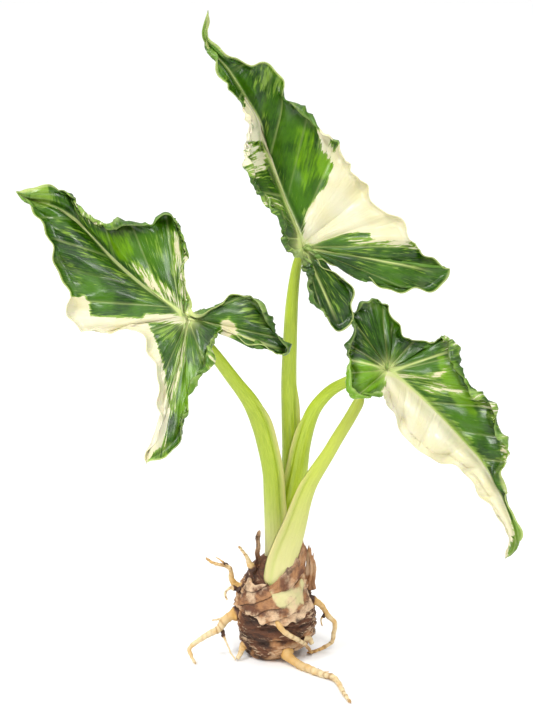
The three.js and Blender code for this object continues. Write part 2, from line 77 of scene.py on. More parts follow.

# The blades are drawn on a board that leans back by BOARD_LEAN. Lengths here are millimetres from the
# heart, where the stalk joins: right, up and toward the front. A side vein is
# (start along the midrib, right, up, toward, arch, roll of the margin in degrees, width rolled).
# Veins lists the places along a half, counted in side veins from the notch, where a vein shows, and
# ribs those of the strong veins into the lobes, whose half width at the heart is rib.
# A patch is (colour, strength, half or None, outline as (right, up) points).
# Light patches are partly paler grey-green in the blade, partly painted sheen.
# Lime patches are partly the blade's own yellow-green, partly painted glow of light shining through the
# blade.
BLADES = {
    "blade_left": {
        "heart": (-39.5, -15, 185.5),
        "tilt": (-0.05, -0.34),
        "midrib": (
            (0, 0, 0), (-9, 7, -1), (-22, 16, -2), (-36, 28, -2), (-47, 40, -1),
            (-57, 50, 1), (-68, 56, 3), (-79, 59, 2), (-86, 63, 4),
        ),
        "notch": (0, 17, -5, 0, 0, 60, 4),
        "halves": (
            (
                (0, 14, -13, 1, 1, 150, 6),
                (0, 10, -26, 2, 1, 170, 7),
                (0, 1, -39, 0, 1, 150, 6),
                (0, -1, -52, -1, 1, 110, 5),
                (0, -7, -64, -2, 1, 80, 4),
                (0, -20, -71, -4, 0, 30, 2),
                (0, -13, -55, -1, 1, 50, 4),
                (0, -14, -34, 1, 1, 60, 4),
                (0, -20, -11, 2, 0, 60, 4),
                (0.01, -32, -5, 0, 0, 70, 4),
                (0.03, -49, -7, -1, 1, 80, 5),
                (0.06, -57, 0, 0, 1, 80, 5),
                (0.14, -60, 16, 1, 1, 50, 4),
                (0.3, -67, 32, 3, 2, 60, 4),
                (0.48, -70, 45, 3, 2, 60, 4),
                (0.72, -78, 54, 1, 1, 50, 3),
            ),
            (
                (0, 25, -9, -2, 0, 60, 3),
                (0, 38, -15, -4, 1, 60, 4),
                (0, 50, -17, -6, 1, 120, 5),
                (0, 43, -4, -3, 1, 150, 6),
                (0, 30, 12, 1, 1, 90, 4),
                (0, 14, 5, 1, 1, 60, 3),
                (0.01, 1, 3, 1, 0, 40, 2),
                (0.02, 0, 13, 2, 0, 60, 3),
                (0.03, -2, 25, 4, -1, 80, 4),
                (0.03, -2, 40, 6, -1, 150, 6),
                (0.05, -8, 51, 7, -1, 110, 5),
                (0.1, -20, 48, 5, -1, 120, 6),
                (0.22, -34, 49, 7, -2, 160, 7),
                (0.38, -42, 48, 4, -1, 160, 7),
                (0.52, -56, 57, 4, -1, 140, 5),
                (0.64, -62, 65, 7, 1, 90, 4),
                (0.78, -71, 65, 8, 1, 60, 3),
            ),
        ),
        "veins": (
            (2, 4, 8, 9.3, 10.6, 12.6, 13.6, 14.6, 15.6),
            (1, 3.6, 5, 8.4, 10, 11.3, 12.6, 14, 15.5),
        ),
        "ribs": ((6,), (3,)),
        "rib": 1.5,
        "patches": (
            ("cream", 1.4, 0, (
                (-66, 9), (-58, 9), (-51, 10), (-49, 7), (-49, 0), (-36, 0), (-22, -1), (-16, -11),
                (-13, -21), (-11, -33), (-9.5, -45), (-10, -54), (-13, -62), (-20, -70), (-30, -60),
                (-24, -20), (-34, -14), (-66, -16),
            )),
            ("cream", 1.4, 0, ((0, 0), (-8, 1), (-20, 1), (-24, -2), (-12, -1.5), (0, -2))),
            ("cream", 0.62, 0, ((0, 0), (0, -14), (-3, -30), (-6, -44), (-10, -36), (-5, -18))),
            ("cream", 0.5, 0, ((-4, -40), (-8, -40), (-8, -56), (-12, -66), (-14, -64), (-9, -52))),
            ("light", 0.75, 0, ((-12, -60), (-6, -60), (-12, -74), (-24, -78), (-20, -66))),
            ("cream", 0.42, 0, ((19, -8), (13, -8), (10, -18), (6, -32), (12, -32))),
            ("cream", 0.48, 1, (
                (2, -1), (-14, 9), (-24, 18), (-30, 27), (-25, 30), (-18, 24), (-10, 16), (-3, 10),
            )),
            ("cream", 0.52, 1, ((1, 6), (-1, 30), (-3, 44), (-9, 44), (-8, 30), (-5, 12))),
            ("cream", 0.46, 1, ((-60, 66), (-38, 54), (-36, 45), (-46, 45), (-58, 56))),
            ("cream", 1.2, 1, ((17, -1), (20, 0), (23, -4), (24, -8), (17, -8))),
            ("light", 0.5, 1, ((6, 4), (26, 12), (38, 0), (46, -14), (36, -6), (20, 4))),
            ("light", 0.44, 0, (
                (0, 0), (-30, 22), (-50, 42), (-70, 56), (-74, 50), (-62, 40), (-48, 26), (-24, 6),
            )),
            ("light", 0.43, 0, ((-50, 22), (-62, 34), (-66, 28), (-62, 12), (-52, 10))),
            ("light", 0.65, 0, ((-6, -2), (-22, -4), (-14, -12), (-4, -14))),
            ("light", 0.80, None, ((-72, 70), (-90, 68), (-90, 58), (-72, 54), (-64, 58))),
            ("light", 0.43, 1, ((-8, 8), (-20, 26), (-24, 44), (-10, 46), (-4, 26))),
            ("lime_glow", 0.8, 0, ((0, -20), (6, -26), (2, -44), (-6, -60), (-5, -40))),
            ("light", 0.36, 0, ((4, -4), (16, -10), (8, -30), (2, -50), (-6, -64), (-4, -30))),
            ("light", 0.36, 1, ((6, 2), (28, 14), (42, -2), (50, -16), (34, -14), (14, -8))),
            ("lime_glow", 0.6, 1, ((-28, 44), (-44, 44), (-58, 54), (-44, 36), (-26, 24))),
        ),
    },
    "blade_top": {
        "heart": (17.5, -3, 218.5),
        "tilt": (-0.1, -0.05),
        "midrib": (
            (0, 0, 0), (-3, 9, -1), (-8, 21, -3), (-14, 37, -4), (-19, 49, -4), (-21, 61, -3),
            (-28, 73, -1), (-37, 87, 1), (-45, 96, 3), (-50, 104, 3), (-47, 116, 6),
        ),
        "notch": (0, 6, -6, 0, 0, 40, 3),
        "halves": (
            (
                (0, 16, -14, 0, 1, 50, 3),
                (0, 24, -23, -1, 1, 50, 3),
                (0, 24, -34, -2, 1, 50, 3),
                (0, 18, -41, -2, 1, 60, 4),
                (0, 9, -34, 1, 1, 120, 5),
                (0, 3, -24, 3, 1, 150, 6),
                (0, 2, -13, 4, 1, 150, 6),
                (0, -2, -6, 5, 1, 150, 5),
                (0.03, -10, -1, 7, 1, 160, 6),
                (0.08, -12, 12, 9, 1, 170, 7),
                (0.16, -18, 20, 9, 1, 160, 6),
                (0.28, -26, 31, 10, 1, 160, 6),
                (0.42, -29, 46, 10, 1, 140, 5),
                (0.54, -27, 60, 8, 1, 120, 5),
                (0.68, -37, 79, 6, 1, 80, 4),
                (0.84, -46, 95, 2, 0, 50, 2),
            ),
            (
                (0, 21, -11, 0, 1, 30, 3),
                (0, 38, -19, -1, 2, 40, 3),
                (0, 55, -22, -2, 2, 50, 4),
                (0, 67, -19, -4, 2, 50, 4),
                (0, 73, -10, -6, 1, 30, 2),
                (0, 61, -6, -2, 2, 60, 4),
                (0, 53, 5, 2, 1, 70, 4),
                (0, 44, 15, 3, -1, 60, 4),
                (0.01, 34, 22, 2, -2, 60, 4),
                (0.04, 23, 40, 5, -2, 90, 5),
                (0.1, 13, 53, 5, -2, 100, 6),
                (0.2, 3, 65, 5, -2, 150, 6),
                (0.32, -7, 73, 5, -2, 120, 5),
                (0.44, -11, 82, 3, -1, 50, 4),
                (0.58, -20, 90, 4, 0, 50, 3),
                (0.74, -33, 91, 2, 0, 60, 3),
                (0.9, -45, 101, 3, 0, 40, 2),
            ),
        ),
        "veins": (
            (1.5, 5, 9.4, 10.6, 11.6, 12.6, 13.6, 14.6),
            (1.2, 3, 6.6, 8, 9.3, 10.7, 12.1, 13.3, 14.5, 15.7),
        ),
        "ribs": ((4,), (4.6,)),
        "rib": 1.0,
        "patches": (
            ("cream", 1.4, 1, (
                (0, 3), (2, 17), (7, 24), (11, 29), (14, 36), (16, 40), (13, 43), (10, 49), (9, 56), (9, 66),
                (20, 64), (34, 44), (50, 28), (64, 6), (54, 4), (43, 4), (34, 4), (33, 7), (28, 8), (20, 7),
                (13, 5), (5, 2),
            )),
            ("green", 1.0, 1, ((12, 58), (17, 52), (16, 45), (13.5, 46), (12, 53))),
            ("light", 0.95, None, ((-57, 99), (-48, 97), (-42, 106), (-42, 122), (-58, 122))),
            ("cream", 1.4, 0, ((-28, 76), (-22, 71), (-19, 64), (-19, 53), (-36, 51), (-34, 60), (-29, 67))),
            ("cream", 0.5, 0, ((-36, 52), (-20, 53), (-17, 44), (-18, 36), (-24, 32), (-36, 38))),
            ("cream", 0.5, 0, ((-42, 93), (-46, 98), (-52, 98), (-46, 90))),
            ("cream", 0.4, 0, ((-8, 16), (-12, 26), (-24, 24), (-20, 14))),
            ("light", 0.58, 0, ((-16, 34), (-20, 52), (-36, 52), (-34, 30))),
            ("light", 0.43, 0, ((-30, 76), (-44, 94), (-52, 98), (-38, 78))),
            ("light", 0.50, 1, ((-10, 28), (-16, 44), (-20, 58), (-22, 70), (-18, 66), (-15, 52), (-9, 34))),
            ("light", 0.54, 1, ((-22, 92), (-12, 88), (-8, 78), (-14, 70), (-24, 76), (-28, 86))),
            ("light", 0.36, 1, ((-8, 74), (6, 66), (14, 54), (6, 58), (-6, 66))),
            ("light", 0.45, 1, ((3, 0), (20, 4), (36, 2), (40, -6), (24, -6), (8, -4))),
            ("light", 0.47, 0, ((6, -9), (14, -16), (22, -30), (16, -38), (10, -24))),
            ("lime_glow", 0.9, 1, ((8, 50), (16, 41), (15, 34), (9, 34), (6, 42))),
            ("light", 0.36, 1, ((10, 3), (50, 6), (70, -10), (66, -20), (46, -20), (20, -9))),
            ("cream", 0.5, 1, ((22, 4), (44, 8), (58, 2), (60, -3), (40, 0), (22, 0))),
            ("light", 0.36, 0, ((4, -4), (20, -12), (24, -30), (18, -42), (6, -26))),
            ("light", 0.36, 0, ((-12, 10), (-30, 44), (-36, 48), (-28, 26), (-14, -2), (0, -8))),
            ("lime_glow", 0.5, 1, ((-4, 60), (8, 58), (8, 34), (0, 26), (-6, 44))),
        ),
    },
    "blade_right": {
        "heart": (59.5, -14, 158.5),
        "tilt": (-0.24, -0.25),
        "midrib": (
            (0, 0, 0), (7, -5, -1), (18, -15, -2), (28, -25, -2), (38, -36, -2), (46, -45, -2),
            (52, -55, -1), (58, -68, 1), (62, -81, 2), (61, -89, 2), (57, -93, 0),
        ),
        "notch": (0, -9, 34, 6, 2, 100, 4),
        "halves": (
            (
                (0, -19, 29, 4, 2, 140, 6),
                (0, -18, 21, 3, 2, 130, 7),
                (0, -22, 8, 2, 3, 120, 7),
                (0, -21, -2, 3, 3, 120, 7),
                (0, -21, -11, 6, 1, 140, 7),
                (0, -14, -15, 8, -1, 150, 7),
                (0, -4, -12, 6, -1, 110, 5),
                (0.06, 1, -20, -1, 3, 20, 3),
                (0.18, 9, -34, -3, 3, 20, 3),
                (0.32, 19, -43, -3, 3, 20, 3),
                (0.46, 30, -46, -2, 2, 30, 3),
                (0.58, 40, -54, -1, 1, 30, 3),
                (0.72, 50, -68, 0, 1, 30, 2),
                (0.86, 59, -80, 1, 0, 20, 2),
            ),
            (
                (0, -7, 36, 3, 2, 100, 4),
                (0, -1, 33, 1, 2, 90, 4),
                (0, 2, 24, 1, 1, 60, 4),
                (0, 9, 17, 3, 0, 90, 5),
                (0.0, 21, 13, 1, -1, 70, 4),
                (0.01, 32, 17, 7, -3, 150, 7),
                (0.03, 36, 4, 9, -3, 170, 8),
                (0.1, 45, -12, 7, -3, 160, 8),
                (0.2, 54, -18, 8, -3, 140, 8),
                (0.32, 56, -32, 6, -3, 150, 7),
                (0.44, 60, -40, 7, -2, 120, 6),
                (0.58, 55, -55, 2, 0, 60, 3),
                (0.74, 60, -68, 1, 0, 50, 3),
                (0.9, 65, -81, 1, 0, 30, 2),
            ),
        ),
        "veins": (
            (1.2, 2.6, 4, 5.6, 8.6, 9.6, 10.6, 11.6, 12.6),
            (1.6, 3, 4.4, 5.6, 6.8, 8, 9.1, 10.2, 11.4, 12.6),
        ),
        "ribs": ((3.2,), (6.6,)),
        "rib": 0.8,
        "patches": (
            ("cream", 1.4, 0, (
                (0, -1), (7, -5), (18, -15), (28, -25), (38, -36), (46, -45), (52, -55), (58, -68), (61, -80),
                (56, -98), (30, -66), (4, -46), (-8, -22), (-2, -9),
            )),
            ("cream", 0.6, 1, (
                (0, 0), (6, -2), (16, -2.5), (23, -1.5), (29, 2), (31, 1), (27, -4), (16, -5), (6, -5),
            )),
            ("cream", 0.46, 1, ((2, -3), (14, -6), (28, -6), (38, -8), (38, -13), (26, -13), (16, -11))),
            ("cream", 0.46, 1, ((26, 18), (34, 20), (38, 10), (31, 8))),
            ("cream", 0.4, 1, ((40, -6), (60, -20), (64, -44), (56, -50), (54, -28), (42, -16))),
            ("light", 0.95, 1, ((6, -6), (20, -18), (36, -36), (50, -54), (50, -46), (38, -30), (24, -15))),
            ("light", 0.95, None, ((58, -76), (64, -70), (72, -76), (70, -98), (50, -100), (56, -90))),
            ("light", 0.43, 1, ((-2, 4), (6, 18), (12, 20), (8, 6))),
            ("light", 0.43, 0, ((-4, 4), (-10, 28), (-18, 26), (-12, 8))),
            ("lime_glow", 1.0, 0, ((-30, 8), (-8, 4), (0, -2), (0, -18), (-30, -22))),
            ("lime_glow", 0.9, 1, ((24, 8), (33, 4), (42, -12), (44, -22), (34, -18), (28, -8))),
            ("light", 0.36, 1, (
                (30, 18), (38, 16), (48, -12), (62, -24), (66, -44), (56, -52), (54, -30), (40, -14),
            )),
            ("light", 0.36, 0, ((-26, 26), (-10, 36), (-6, 30), (-16, 20), (-16, 0), (-26, -16))),
        ),
    },
}

# A limb follows its path, in millimetres, and its sections are (fraction of its length, width, depth).
# Wing is (turn round the stalk in degrees, fraction where the sheath ends, height of the sheath's edge).
# Ends is the fraction of its length over which a stalk closes at each end.
STALKS = {
    "petiole_outer_right": {
        "path": (
            (6, -12.8, 39), (6.2, -12.6, 47), (7.5, -12, 57), (13, -11.5, 74), (18, -10.5, 90), (22, -10, 99),
            (30, -9, 112), (34.5, -8.5, 120), (40.5, -7.5, 130), (45, -6, 138), (47, -6, 143),
        ),
        "sections": (
            (0, 15, 9), (0.07, 17, 9), (0.25, 14, 8), (0.42, 10, 7.5), (0.55, 8, 7), (0.7, 6.5, 6),
            (1, 5.5, 5.5),
        ),
        "wing": (148, 0.62, 1.3),
        "ends": 0.06,
        "paleness": 1.0,
    },
    "petiole_left": {
        "path": (
            (4, 1, 44), (4, 1, 62), (3, 1, 84), (2, 0, 100), (-1, -1, 116), (-4, -2, 127),
            (-9, -3, 138), (-17, -5, 150), (-27, -8, 165), (-35, -10, 176), (-39, -10.5, 183.5),
        ),
        "sections": ((0, 12, 9), (0.35, 10, 8), (0.55, 10, 7), (0.7, 7, 6), (0.85, 6, 5.5), (1, 4, 4)),
        "wing": (28, 0.66, 1.6),
        "ends": 0.012,
        "paleness": 0.35,
    },
    "petiole_inner_right": {
        "path": (
            (9, 5, 44), (10, 5, 57), (12, 5, 80), (15, 4, 99), (17, 3, 112), (20, 2, 124),
            (24, 0, 134), (31, -2, 143), (39, -5, 149), (49, -7, 154), (58, -9.5, 157.5),
        ),
        "sections": ((0, 13, 8), (0.3, 12, 7.5), (0.5, 9, 6.5), (0.7, 6.5, 6), (1, 4, 4)),
        "wing": (160, 0.66, 1.4),
        "ends": 0.012,
        "paleness": 0.1,
    },
    "petiole_centre": {
        "path": (
            (9, 11, 44), (10, 11, 62), (10.5, 11, 81), (11.5, 10, 103), (11, 9, 125), (10.5, 7, 146),
            (11, 5, 168), (12, 4, 189), (14, 3, 206), (17, 1.5, 216.5),
        ),
        "sections": ((0, 12, 8), (0.3, 9, 7), (0.55, 8, 7), (0.8, 6.5, 6), (1, 4, 4)),
        "wing": (18, 0.6, 1.5),
        "ends": 0.012,
        "paleness": 0.15,
    },
}

LEAF_BASES = {
    "leaf_base_right": {
        "path": ((0, -17.6, 41), (6, -18.2, 44), (11.5, -17, 49), (16, -13.4, 56.5), (18, -9.5, 64)),
        "sections": ((0, 4, 1.6), (0.3, 8, 2), (0.6, 8, 1.8), (0.85, 4.5, 1.4), (1, 1.2, 1)),
    },
    "leaf_base_far_right": {
        "path": ((20.5, 1, 34), (21.5, 1, 41), (22, 1, 48), (21, 1, 55)),
        "sections": ((0, 7, 1.6), (0.6, 5, 1.4), (1, 2, 1.2)),
    },
    "leaf_base_left": {
        "path": ((-6, -6, 44), (-5.5, -5.5, 51), (-5, -4.5, 59), (-5, -3, 68)),
        "sections": ((0, 5, 1.4), (0.3, 2.2, 1.1), (1, 0.9, 0.9)),
    },
}

# The corm's outline is (radius, height), and its belly stands to the right of its base.
CORM_PROFILE = (
    (11, 0), (14.5, 2.5), (17.5, 9), (19.8, 17), (20.3, 24), (18.6, 33), (16, 42), (13.5, 48), (8, 53),
)
CORM_TOP = 55
CORM_SHIFT = 4
COLLAR = {"from": -155, "to": -25, "low": 29, "dip": 5, "high": 44}

# Roots are (path, thickness at the corm, thickness at the tip).
ROOTS = {
    "root_front_long": (
        ((9, -10, 7), (10, -16, 5), (15, -21, 2.5), (20, -26, 2.2), (27, -32, 2), (34, -38, 1.7),
         (38, -54, 1.4), (41, -64, 1)), 5, 1.6),
    "root_front_upper": (
        ((4, -14, 27), (6, -21, 23), (10, -21.5, 19), (15, -19, 15), (19, -14, 10), (22, -7, 3),
         (23, -4, 0.8)), 3.2, 1.5),
    "root_right_loop": (
        ((19, 0, 29), (25, -1, 28), (28, 0, 25), (31, 0, 20), (34.5, 0, 16), (34, 0, 10), (33, 0, 5),
         (29, -1, 2.5), (25, -2.5, 1.2), (20, -4.5, 1)), 3.2, 1.5),
    "root_left_upper": (
        ((-10, -2, 35), (-15.5, -2, 37), (-18.5, -2, 41), (-20, -3, 48), (-28, -4, 51),
         (-32, -4, 54)), 3.6, 1.1),
    "root_left_top": (((-6, -5, 47), (-9, -7, 51), (-11, -7.5, 56), (-15, -8, 62)), 2.6, 1.2),
    "root_left_mid": (
        ((-12, -2, 23), (-18, -4, 22), (-22, -6, 20), (-25.5, -8, 16), (-31, -10, 13.5), (-40, -13, 8),
         (-39.5, -15, 4.5), (-37, -18, 0.8)), 5, 1.5),
    "root_left_low": (((-8, -8, 9), (-12.5, -9, 7), (-14, -11, 4), (-16, -13, 1.3)), 3.6, 2.2),
    "root_right_stub": (((16, -8, 13), (21, -8.5, 11), (23, -9, 8)), 4, 2.4),
    "root_left_fibre": (((-14, -4, 36), (-19, -5, 37.5), (-22, -5.5, 35), (-21, -6, 31)), 1.4, 1.1),
    "root_back_left": (((-3, 12, 12), (-5, 18, 10), (-8, 24, 6), (-10, 30, 2), (-12, 37, 1)), 4.4, 1.6),
    "root_back_middle": (((4, 14, 9), (5, 20, 7), (5, 27, 3), (7, 35, 1.4), (6, 44, 0.9)), 4.8, 1.6),
    "root_back_right": (((13, 10, 14), (18, 17, 12), (21, 24, 7), (22, 31, 2.2), (23, 38, 1)), 4, 1.6),
}
# Side branches are (path, thickness where it leaves its root, thickness at the tip).
BRANCHES = {
    "root_left_mid_branch": (
        ((-24, -7.5, 16.5), (-22.5, -10, 12), (-20.5, -12, 8), (-19, -13, 4.5), (-16.5, -14, 1)), 0.9, 0.8),
    "root_left_mid_spur": (((-21, -6, 20), (-25, -6, 20.5), (-29, -5, 19.5)), 1.2, 0.7),
    "root_left_upper_spur": (((-21, -3, 48.5), (-23.5, -3, 51.5), (-27, -3, 54)), 0.8, 0.5),
    "root_right_loop_spur": (((30, 0, 21.5), (27.5, 0, 18), (28, 0, 14)), 0.9, 0.6),
    "root_front_long_spur": (((24, -29, 2.2), (27, -28, 1.4), (31, -27.5, 0.8)), 0.9, 0.6),
}


# Shape helpers.

def smooth(value, low, high):
    """Goes from 0 at low to 1 at high with soft ends."""
    share = np.clip((value - low) / (high - low), 0.0, 1.0)
    return share * share * (3.0 - 2.0 * share)


def spline(points, at):
    """Points on the smooth curve through a list, at places from 0 to 1."""
    inner = np.asarray(points, float)
    ends = np.vstack([2 * inner[0] - inner[1], inner, 2 * inner[-1] - inner[-2]])
    place = np.clip(np.asarray(at, float), 0, 1) * (len(inner) - 1)
    i = np.minimum(place.astype(int), len(inner) - 2)
    f = (place - i)[:, None]
    a, b, c, d = ends[i], ends[i + 1], ends[i + 2], ends[i + 3]
    return 0.5 * (2 * b + (c - a) * f + (2 * a - 5 * b + 4 * c - d) * f**2 + (3 * b - a - 3 * c + d) * f**3)


def rough(points, size, seed):
    """Smooth noise from about -1 to 1 at each point, with lumps of the given size."""
    scaled = np.asarray(points, float) / size + seed * 7.31
    flat = scaled.reshape(-1, 3)
    values = np.fromiter((noise.noise(Vector(p)) for p in flat), float, len(flat))
    return values.reshape(scaled.shape[:-1]) * 1.6


def unit(vectors):
    """The same directions with a length of one."""
    return vectors / np.maximum(np.linalg.norm(vectors, axis=-1, keepdims=True), 1e-9)


def inside(outline, x, y):
    """Signed distance to an outline, positive inside it."""
    corners = np.asarray(outline, float)
    nearest = np.full(x.shape, 1e9)
    within = np.zeros(x.shape, bool)
    for (ax, ay), (bx, by) in zip(corners, np.roll(corners, -1, axis=0)):
        dx, dy = bx - ax, by - ay
        share = np.clip(((x - ax) * dx + (y - ay) * dy) / (dx * dx + dy * dy), 0, 1)
        nearest = np.minimum(nearest, np.hypot(x - ax - share * dx, y - ay - share * dy))
        crosses = (ay > y) != (by > y)
        within ^= crosses & (x < ax + (y - ay) * dx / (dy if dy else 1e-9))
    return np.where(within, nearest, -nearest)


# Mesh helpers.

def only(piece):
    """Leaves one object selected and active."""
    bpy.ops.object.select_all(action="DESELECT")
    piece.select_set(True)
    bpy.context.view_layer.objects.active = piece


def grid(name, columns, rows):
    """Adds a grid and returns it with its vertices' places across (-1 to 1) and along (0 to 1)."""
    bpy.ops.object.select_all(action="DESELECT")
    bpy.ops.mesh.primitive_grid_add(x_subdivisions=columns, y_subdivisions=rows, size=2)
    piece = bpy.context.active_object
    piece.name = name
    places = np.empty(len(piece.data.vertices) * 3)
    piece.data.vertices.foreach_get("co", places)
    places = places.reshape(rows + 1, columns + 1, 3)
    return piece, places[0, :, 0], (places[:, 0, 1] + 1) / 2


def shape(piece, points, uv, values):
    """Moves the vertices, in millimetres, and stores the pattern map and the named values."""
    mesh = piece.data
    mesh.vertices.foreach_set("co", (np.asarray(points) * MM).ravel())
    for name, value in values.items():
        layer = mesh.attributes.new(name, "FLOAT", "POINT")
        layer.data.foreach_set("value", np.ascontiguousarray(value, dtype=np.float32).ravel())
    corner = np.empty(len(mesh.loops), int)
    mesh.loops.foreach_get("vertex_index", corner)
    mesh.uv_layers.active.data.foreach_set("uv", np.asarray(uv).reshape(-1, 2)[corner].ravel())
    mesh.update()


def weld(piece, closed):
    """Merges the seams and poles, and turns a closed shape's faces outward."""
    only(piece)
    bpy.ops.object.mode_set(mode="EDIT")
    bpy.ops.mesh.select_all(action="SELECT")
    bpy.ops.mesh.remove_doubles(threshold=WELD_DISTANCE * MM)
    if closed:
        bpy.ops.mesh.normals_make_consistent(inside=False)
    bpy.ops.object.mode_set(mode="OBJECT")


def finish(piece, materials, slot, *nodes):
    """Smooths and paints a piece, and hands it to the frame."""
    only(piece)
    bpy.ops.object.shade_smooth()
    for material in materials:
        if material.name not in piece.data.materials:
            piece.data.materials.append(material)
    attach(piece, BODY)
    if nodes:
        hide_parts(*nodes)


def give_wall(piece, thickness):
    """Gives a sheet its thickness behind its face, with the second material on the back."""
    only(piece)
    wall = piece.modifiers.new("Wall", "SOLIDIFY")
    wall.thickness = thickness
    wall.offset = -1
    wall.material_offset = 1
    bpy.ops.object.modifier_apply(modifier=wall.name)


# Blades.

def half_surface(blade, half, along, across):
    """Places of one half, in board millimetres, with what its relief and colours need."""
    tip = (1, *blade["midrib"][-1], 0, 0, 0)
    veins = np.array([blade["notch"], *blade["halves"][half], tip], float)
    fine = np.linspace(0, 1, 900)
    edge = spline(veins[:, 1:4], fine)
    run = np.concatenate([[0], np.cumsum(np.linalg.norm(np.diff(edge, axis=0), axis=1))])
    row = np.interp(along * run[-1], run, fine)
    read = spline(veins, row)
    begin = np.clip(read[:, 0], 0, 1)
    centre = spline(blade["midrib"], begin)
    chord = read[:, 1:4] - centre
    reach = np.maximum(np.linalg.norm(chord, axis=1), 1e-6)
    way = chord / reach[:, None]
    angle = np.maximum(np.radians(read[:, 5] * ROLL_TURN), 0.05)
    width = np.maximum(read[:, 6] * ROLL_GAIN, 0.1)
    radius = width / angle
    flat = np.maximum(reach - radius * np.sin(np.minimum(angle, math.pi / 2)), reach * 0.3)
    out = np.abs(across)[None, :] * (flat + width)[:, None]
    share = np.minimum(out / flat[:, None], 1)
    turned = np.clip((out - flat[:, None]) / radius[:, None], 0, None)
    distance = np.minimum(out, flat[:, None]) + radius[:, None] * np.sin(turned)
    points = centre[:, None, :] + way[:, None, :] * distance[:, :, None]
    points[:, :, 2] += read[:, 4][:, None] * 4 * share * (1 - share)
    points[:, :, 2] += radius[:, None] * (1 - np.cos(turned))
    tightness = np.minimum(np.degrees(angle) / 170, 1)[:, None]
    return {
        "points": points,
        "row": row * (len(veins) - 1),
        "margin": along * run[-1],
        "out": out,
        "begin": begin,
        "rolled": smooth(out / flat[:, None], 0.8, 1.1) * tightness,
        # foot: painted shade in the fold where a margin starts to roll
        "foot": 0.7 * np.exp(-(((out - flat[:, None] + 0.8) / 2.4) ** 2)) * tightness,
    }


def facing(points):
    """Normals of a grid of points, toward the front where the grid is too pinched to tell."""
    down = np.gradient(points, axis=0)
    over = np.gradient(points, axis=1)
    normal = np.cross(over, down)
    size = np.linalg.norm(normal, axis=2, keepdims=True)
    normal = np.where(size > 1e-4, normal / np.maximum(size, 1e-9), (0.0, 0.0, 1.0))
    spread = np.linalg.norm(down, axis=2)
    return normal, spread / np.maximum(spread[:, -1:], 1e-6)


def half_relief(blade, half, made, sizes, seed):
    """Height of one half's ripples, quilting, veins and puckers, and how its veins, painted crease shade and
    rim show.
    """
    count = len(blade["halves"][half]) + 1
    share = np.abs(made["across"])[None, :]
    row, margin, out = made["row"][:, None], made["margin"][:, None], made["out"]
    spots = np.concatenate([[-1], blade["veins"][half], [count + 1]])
    phase = np.interp(row, spots, np.arange(len(spots)))
    step = np.gradient(phase[:, 0], made["margin"])
    gap = np.abs(phase - np.round(phase)) / np.maximum(step[:, None], 1e-3) * made["spread"]
    quilt = np.abs(np.sin(math.pi * phase)) * smooth(share, 0.05, 0.35) * (1 - smooth(share, 0.8, 1))
    ripple = np.sin(margin / 3.9 + seed) * 0.6 + np.sin(margin / 2.1 + 2 * seed) * 0.4
    spot = np.dstack([margin + 0 * out, out, 0 * out])
    swell = rough(spot, 11, seed)
    gathers = np.abs(np.sin(math.pi * (margin / 8.5 + 0.8 * rough(spot, 11, seed + 6))))
    pucker = gathers + 0.25 * rough(spot, 3.6, seed + 3)
    groove = np.exp(-((gap / 0.42) ** 2)) * smooth(share, 0.02, 0.1) * (1 - smooth(share, 0.75, 0.98))
    taper = (1 - made["begin"][:, None]) ** 1.5
    rib = np.exp(-((out / (0.4 + 1.1 * taper)) ** 2))
    valley = np.exp(-((out / 4.0) ** 2)) * (1 - made["begin"][:, None])
    lobe = np.zeros_like(out)
    for place in blade["ribs"][half]:
        apart = np.abs(row - place) * np.gradient(made["margin"], made["row"])[:, None] * made["spread"]
        band = np.exp(-((apart / (blade["rib"] * (1 - 0.6 * share))) ** 2))
        lobe = np.maximum(lobe, band * (1 - smooth(share, 0.6, 0.95)))
    height = (
        sizes.ripple / MM * ripple * smooth(share, 0.5, 0.95)
        + sizes.quilt / MM * quilt
        + sizes.pucker / MM * (pucker - 0.5) * smooth(made["rolled"], 0.35, 0.85)
        + 0.5 * swell * smooth(share, 0.1, 0.5)
        - 0.35 * groove - 0.8 * valley + 0.3 * rib - 0.4 * lobe
    )
    star = np.exp(-((np.linalg.norm(made["points"][..., :2], axis=2) / 5) ** 2))
    shown = np.clip(0.38 * groove + (0.5 + 0.5 * taper) * rib + 0.9 * lobe + star, 0, 1)
    # Painted shade in the crease beside the midrib, joined below to the painted shade in the fold of a rolled
    # margin.
    beside = np.exp(-(((out - 2.2 - 2 * taper) / 1.6) ** 2))
    beside = beside * (0.25 + 0.75 * smooth(made["begin"], 0, 0.1)[:, None])
    crease_shade = np.clip(made["foot"] + 0.6 * beside, 0, 1) * (1 - star)
    rim = smooth(out - out.max(axis=1, keepdims=True), -1.3, -0.3)
    rim = rim * (1 - 0.7 * smooth(made["rolled"], 0.4, 0.9))
    return height, shown, crease_shade, rim


def patch_values(blade, half, right, up):
    """How far each colour of the patches reaches at each point."""
    found = {name: np.zeros(right.shape) for name in ("cream", "light", "lime_glow", "green")}
    for colour, strength, side, outline in blade["patches"]:
        if side is None or side == half:
            soft = smooth(inside(outline, right, up), -3.4, 3.4)
            found[colour] = np.maximum(found[colour], strength * soft)
    found["cream"] = found["cream"] * (1 - found.pop("green"))
    return found


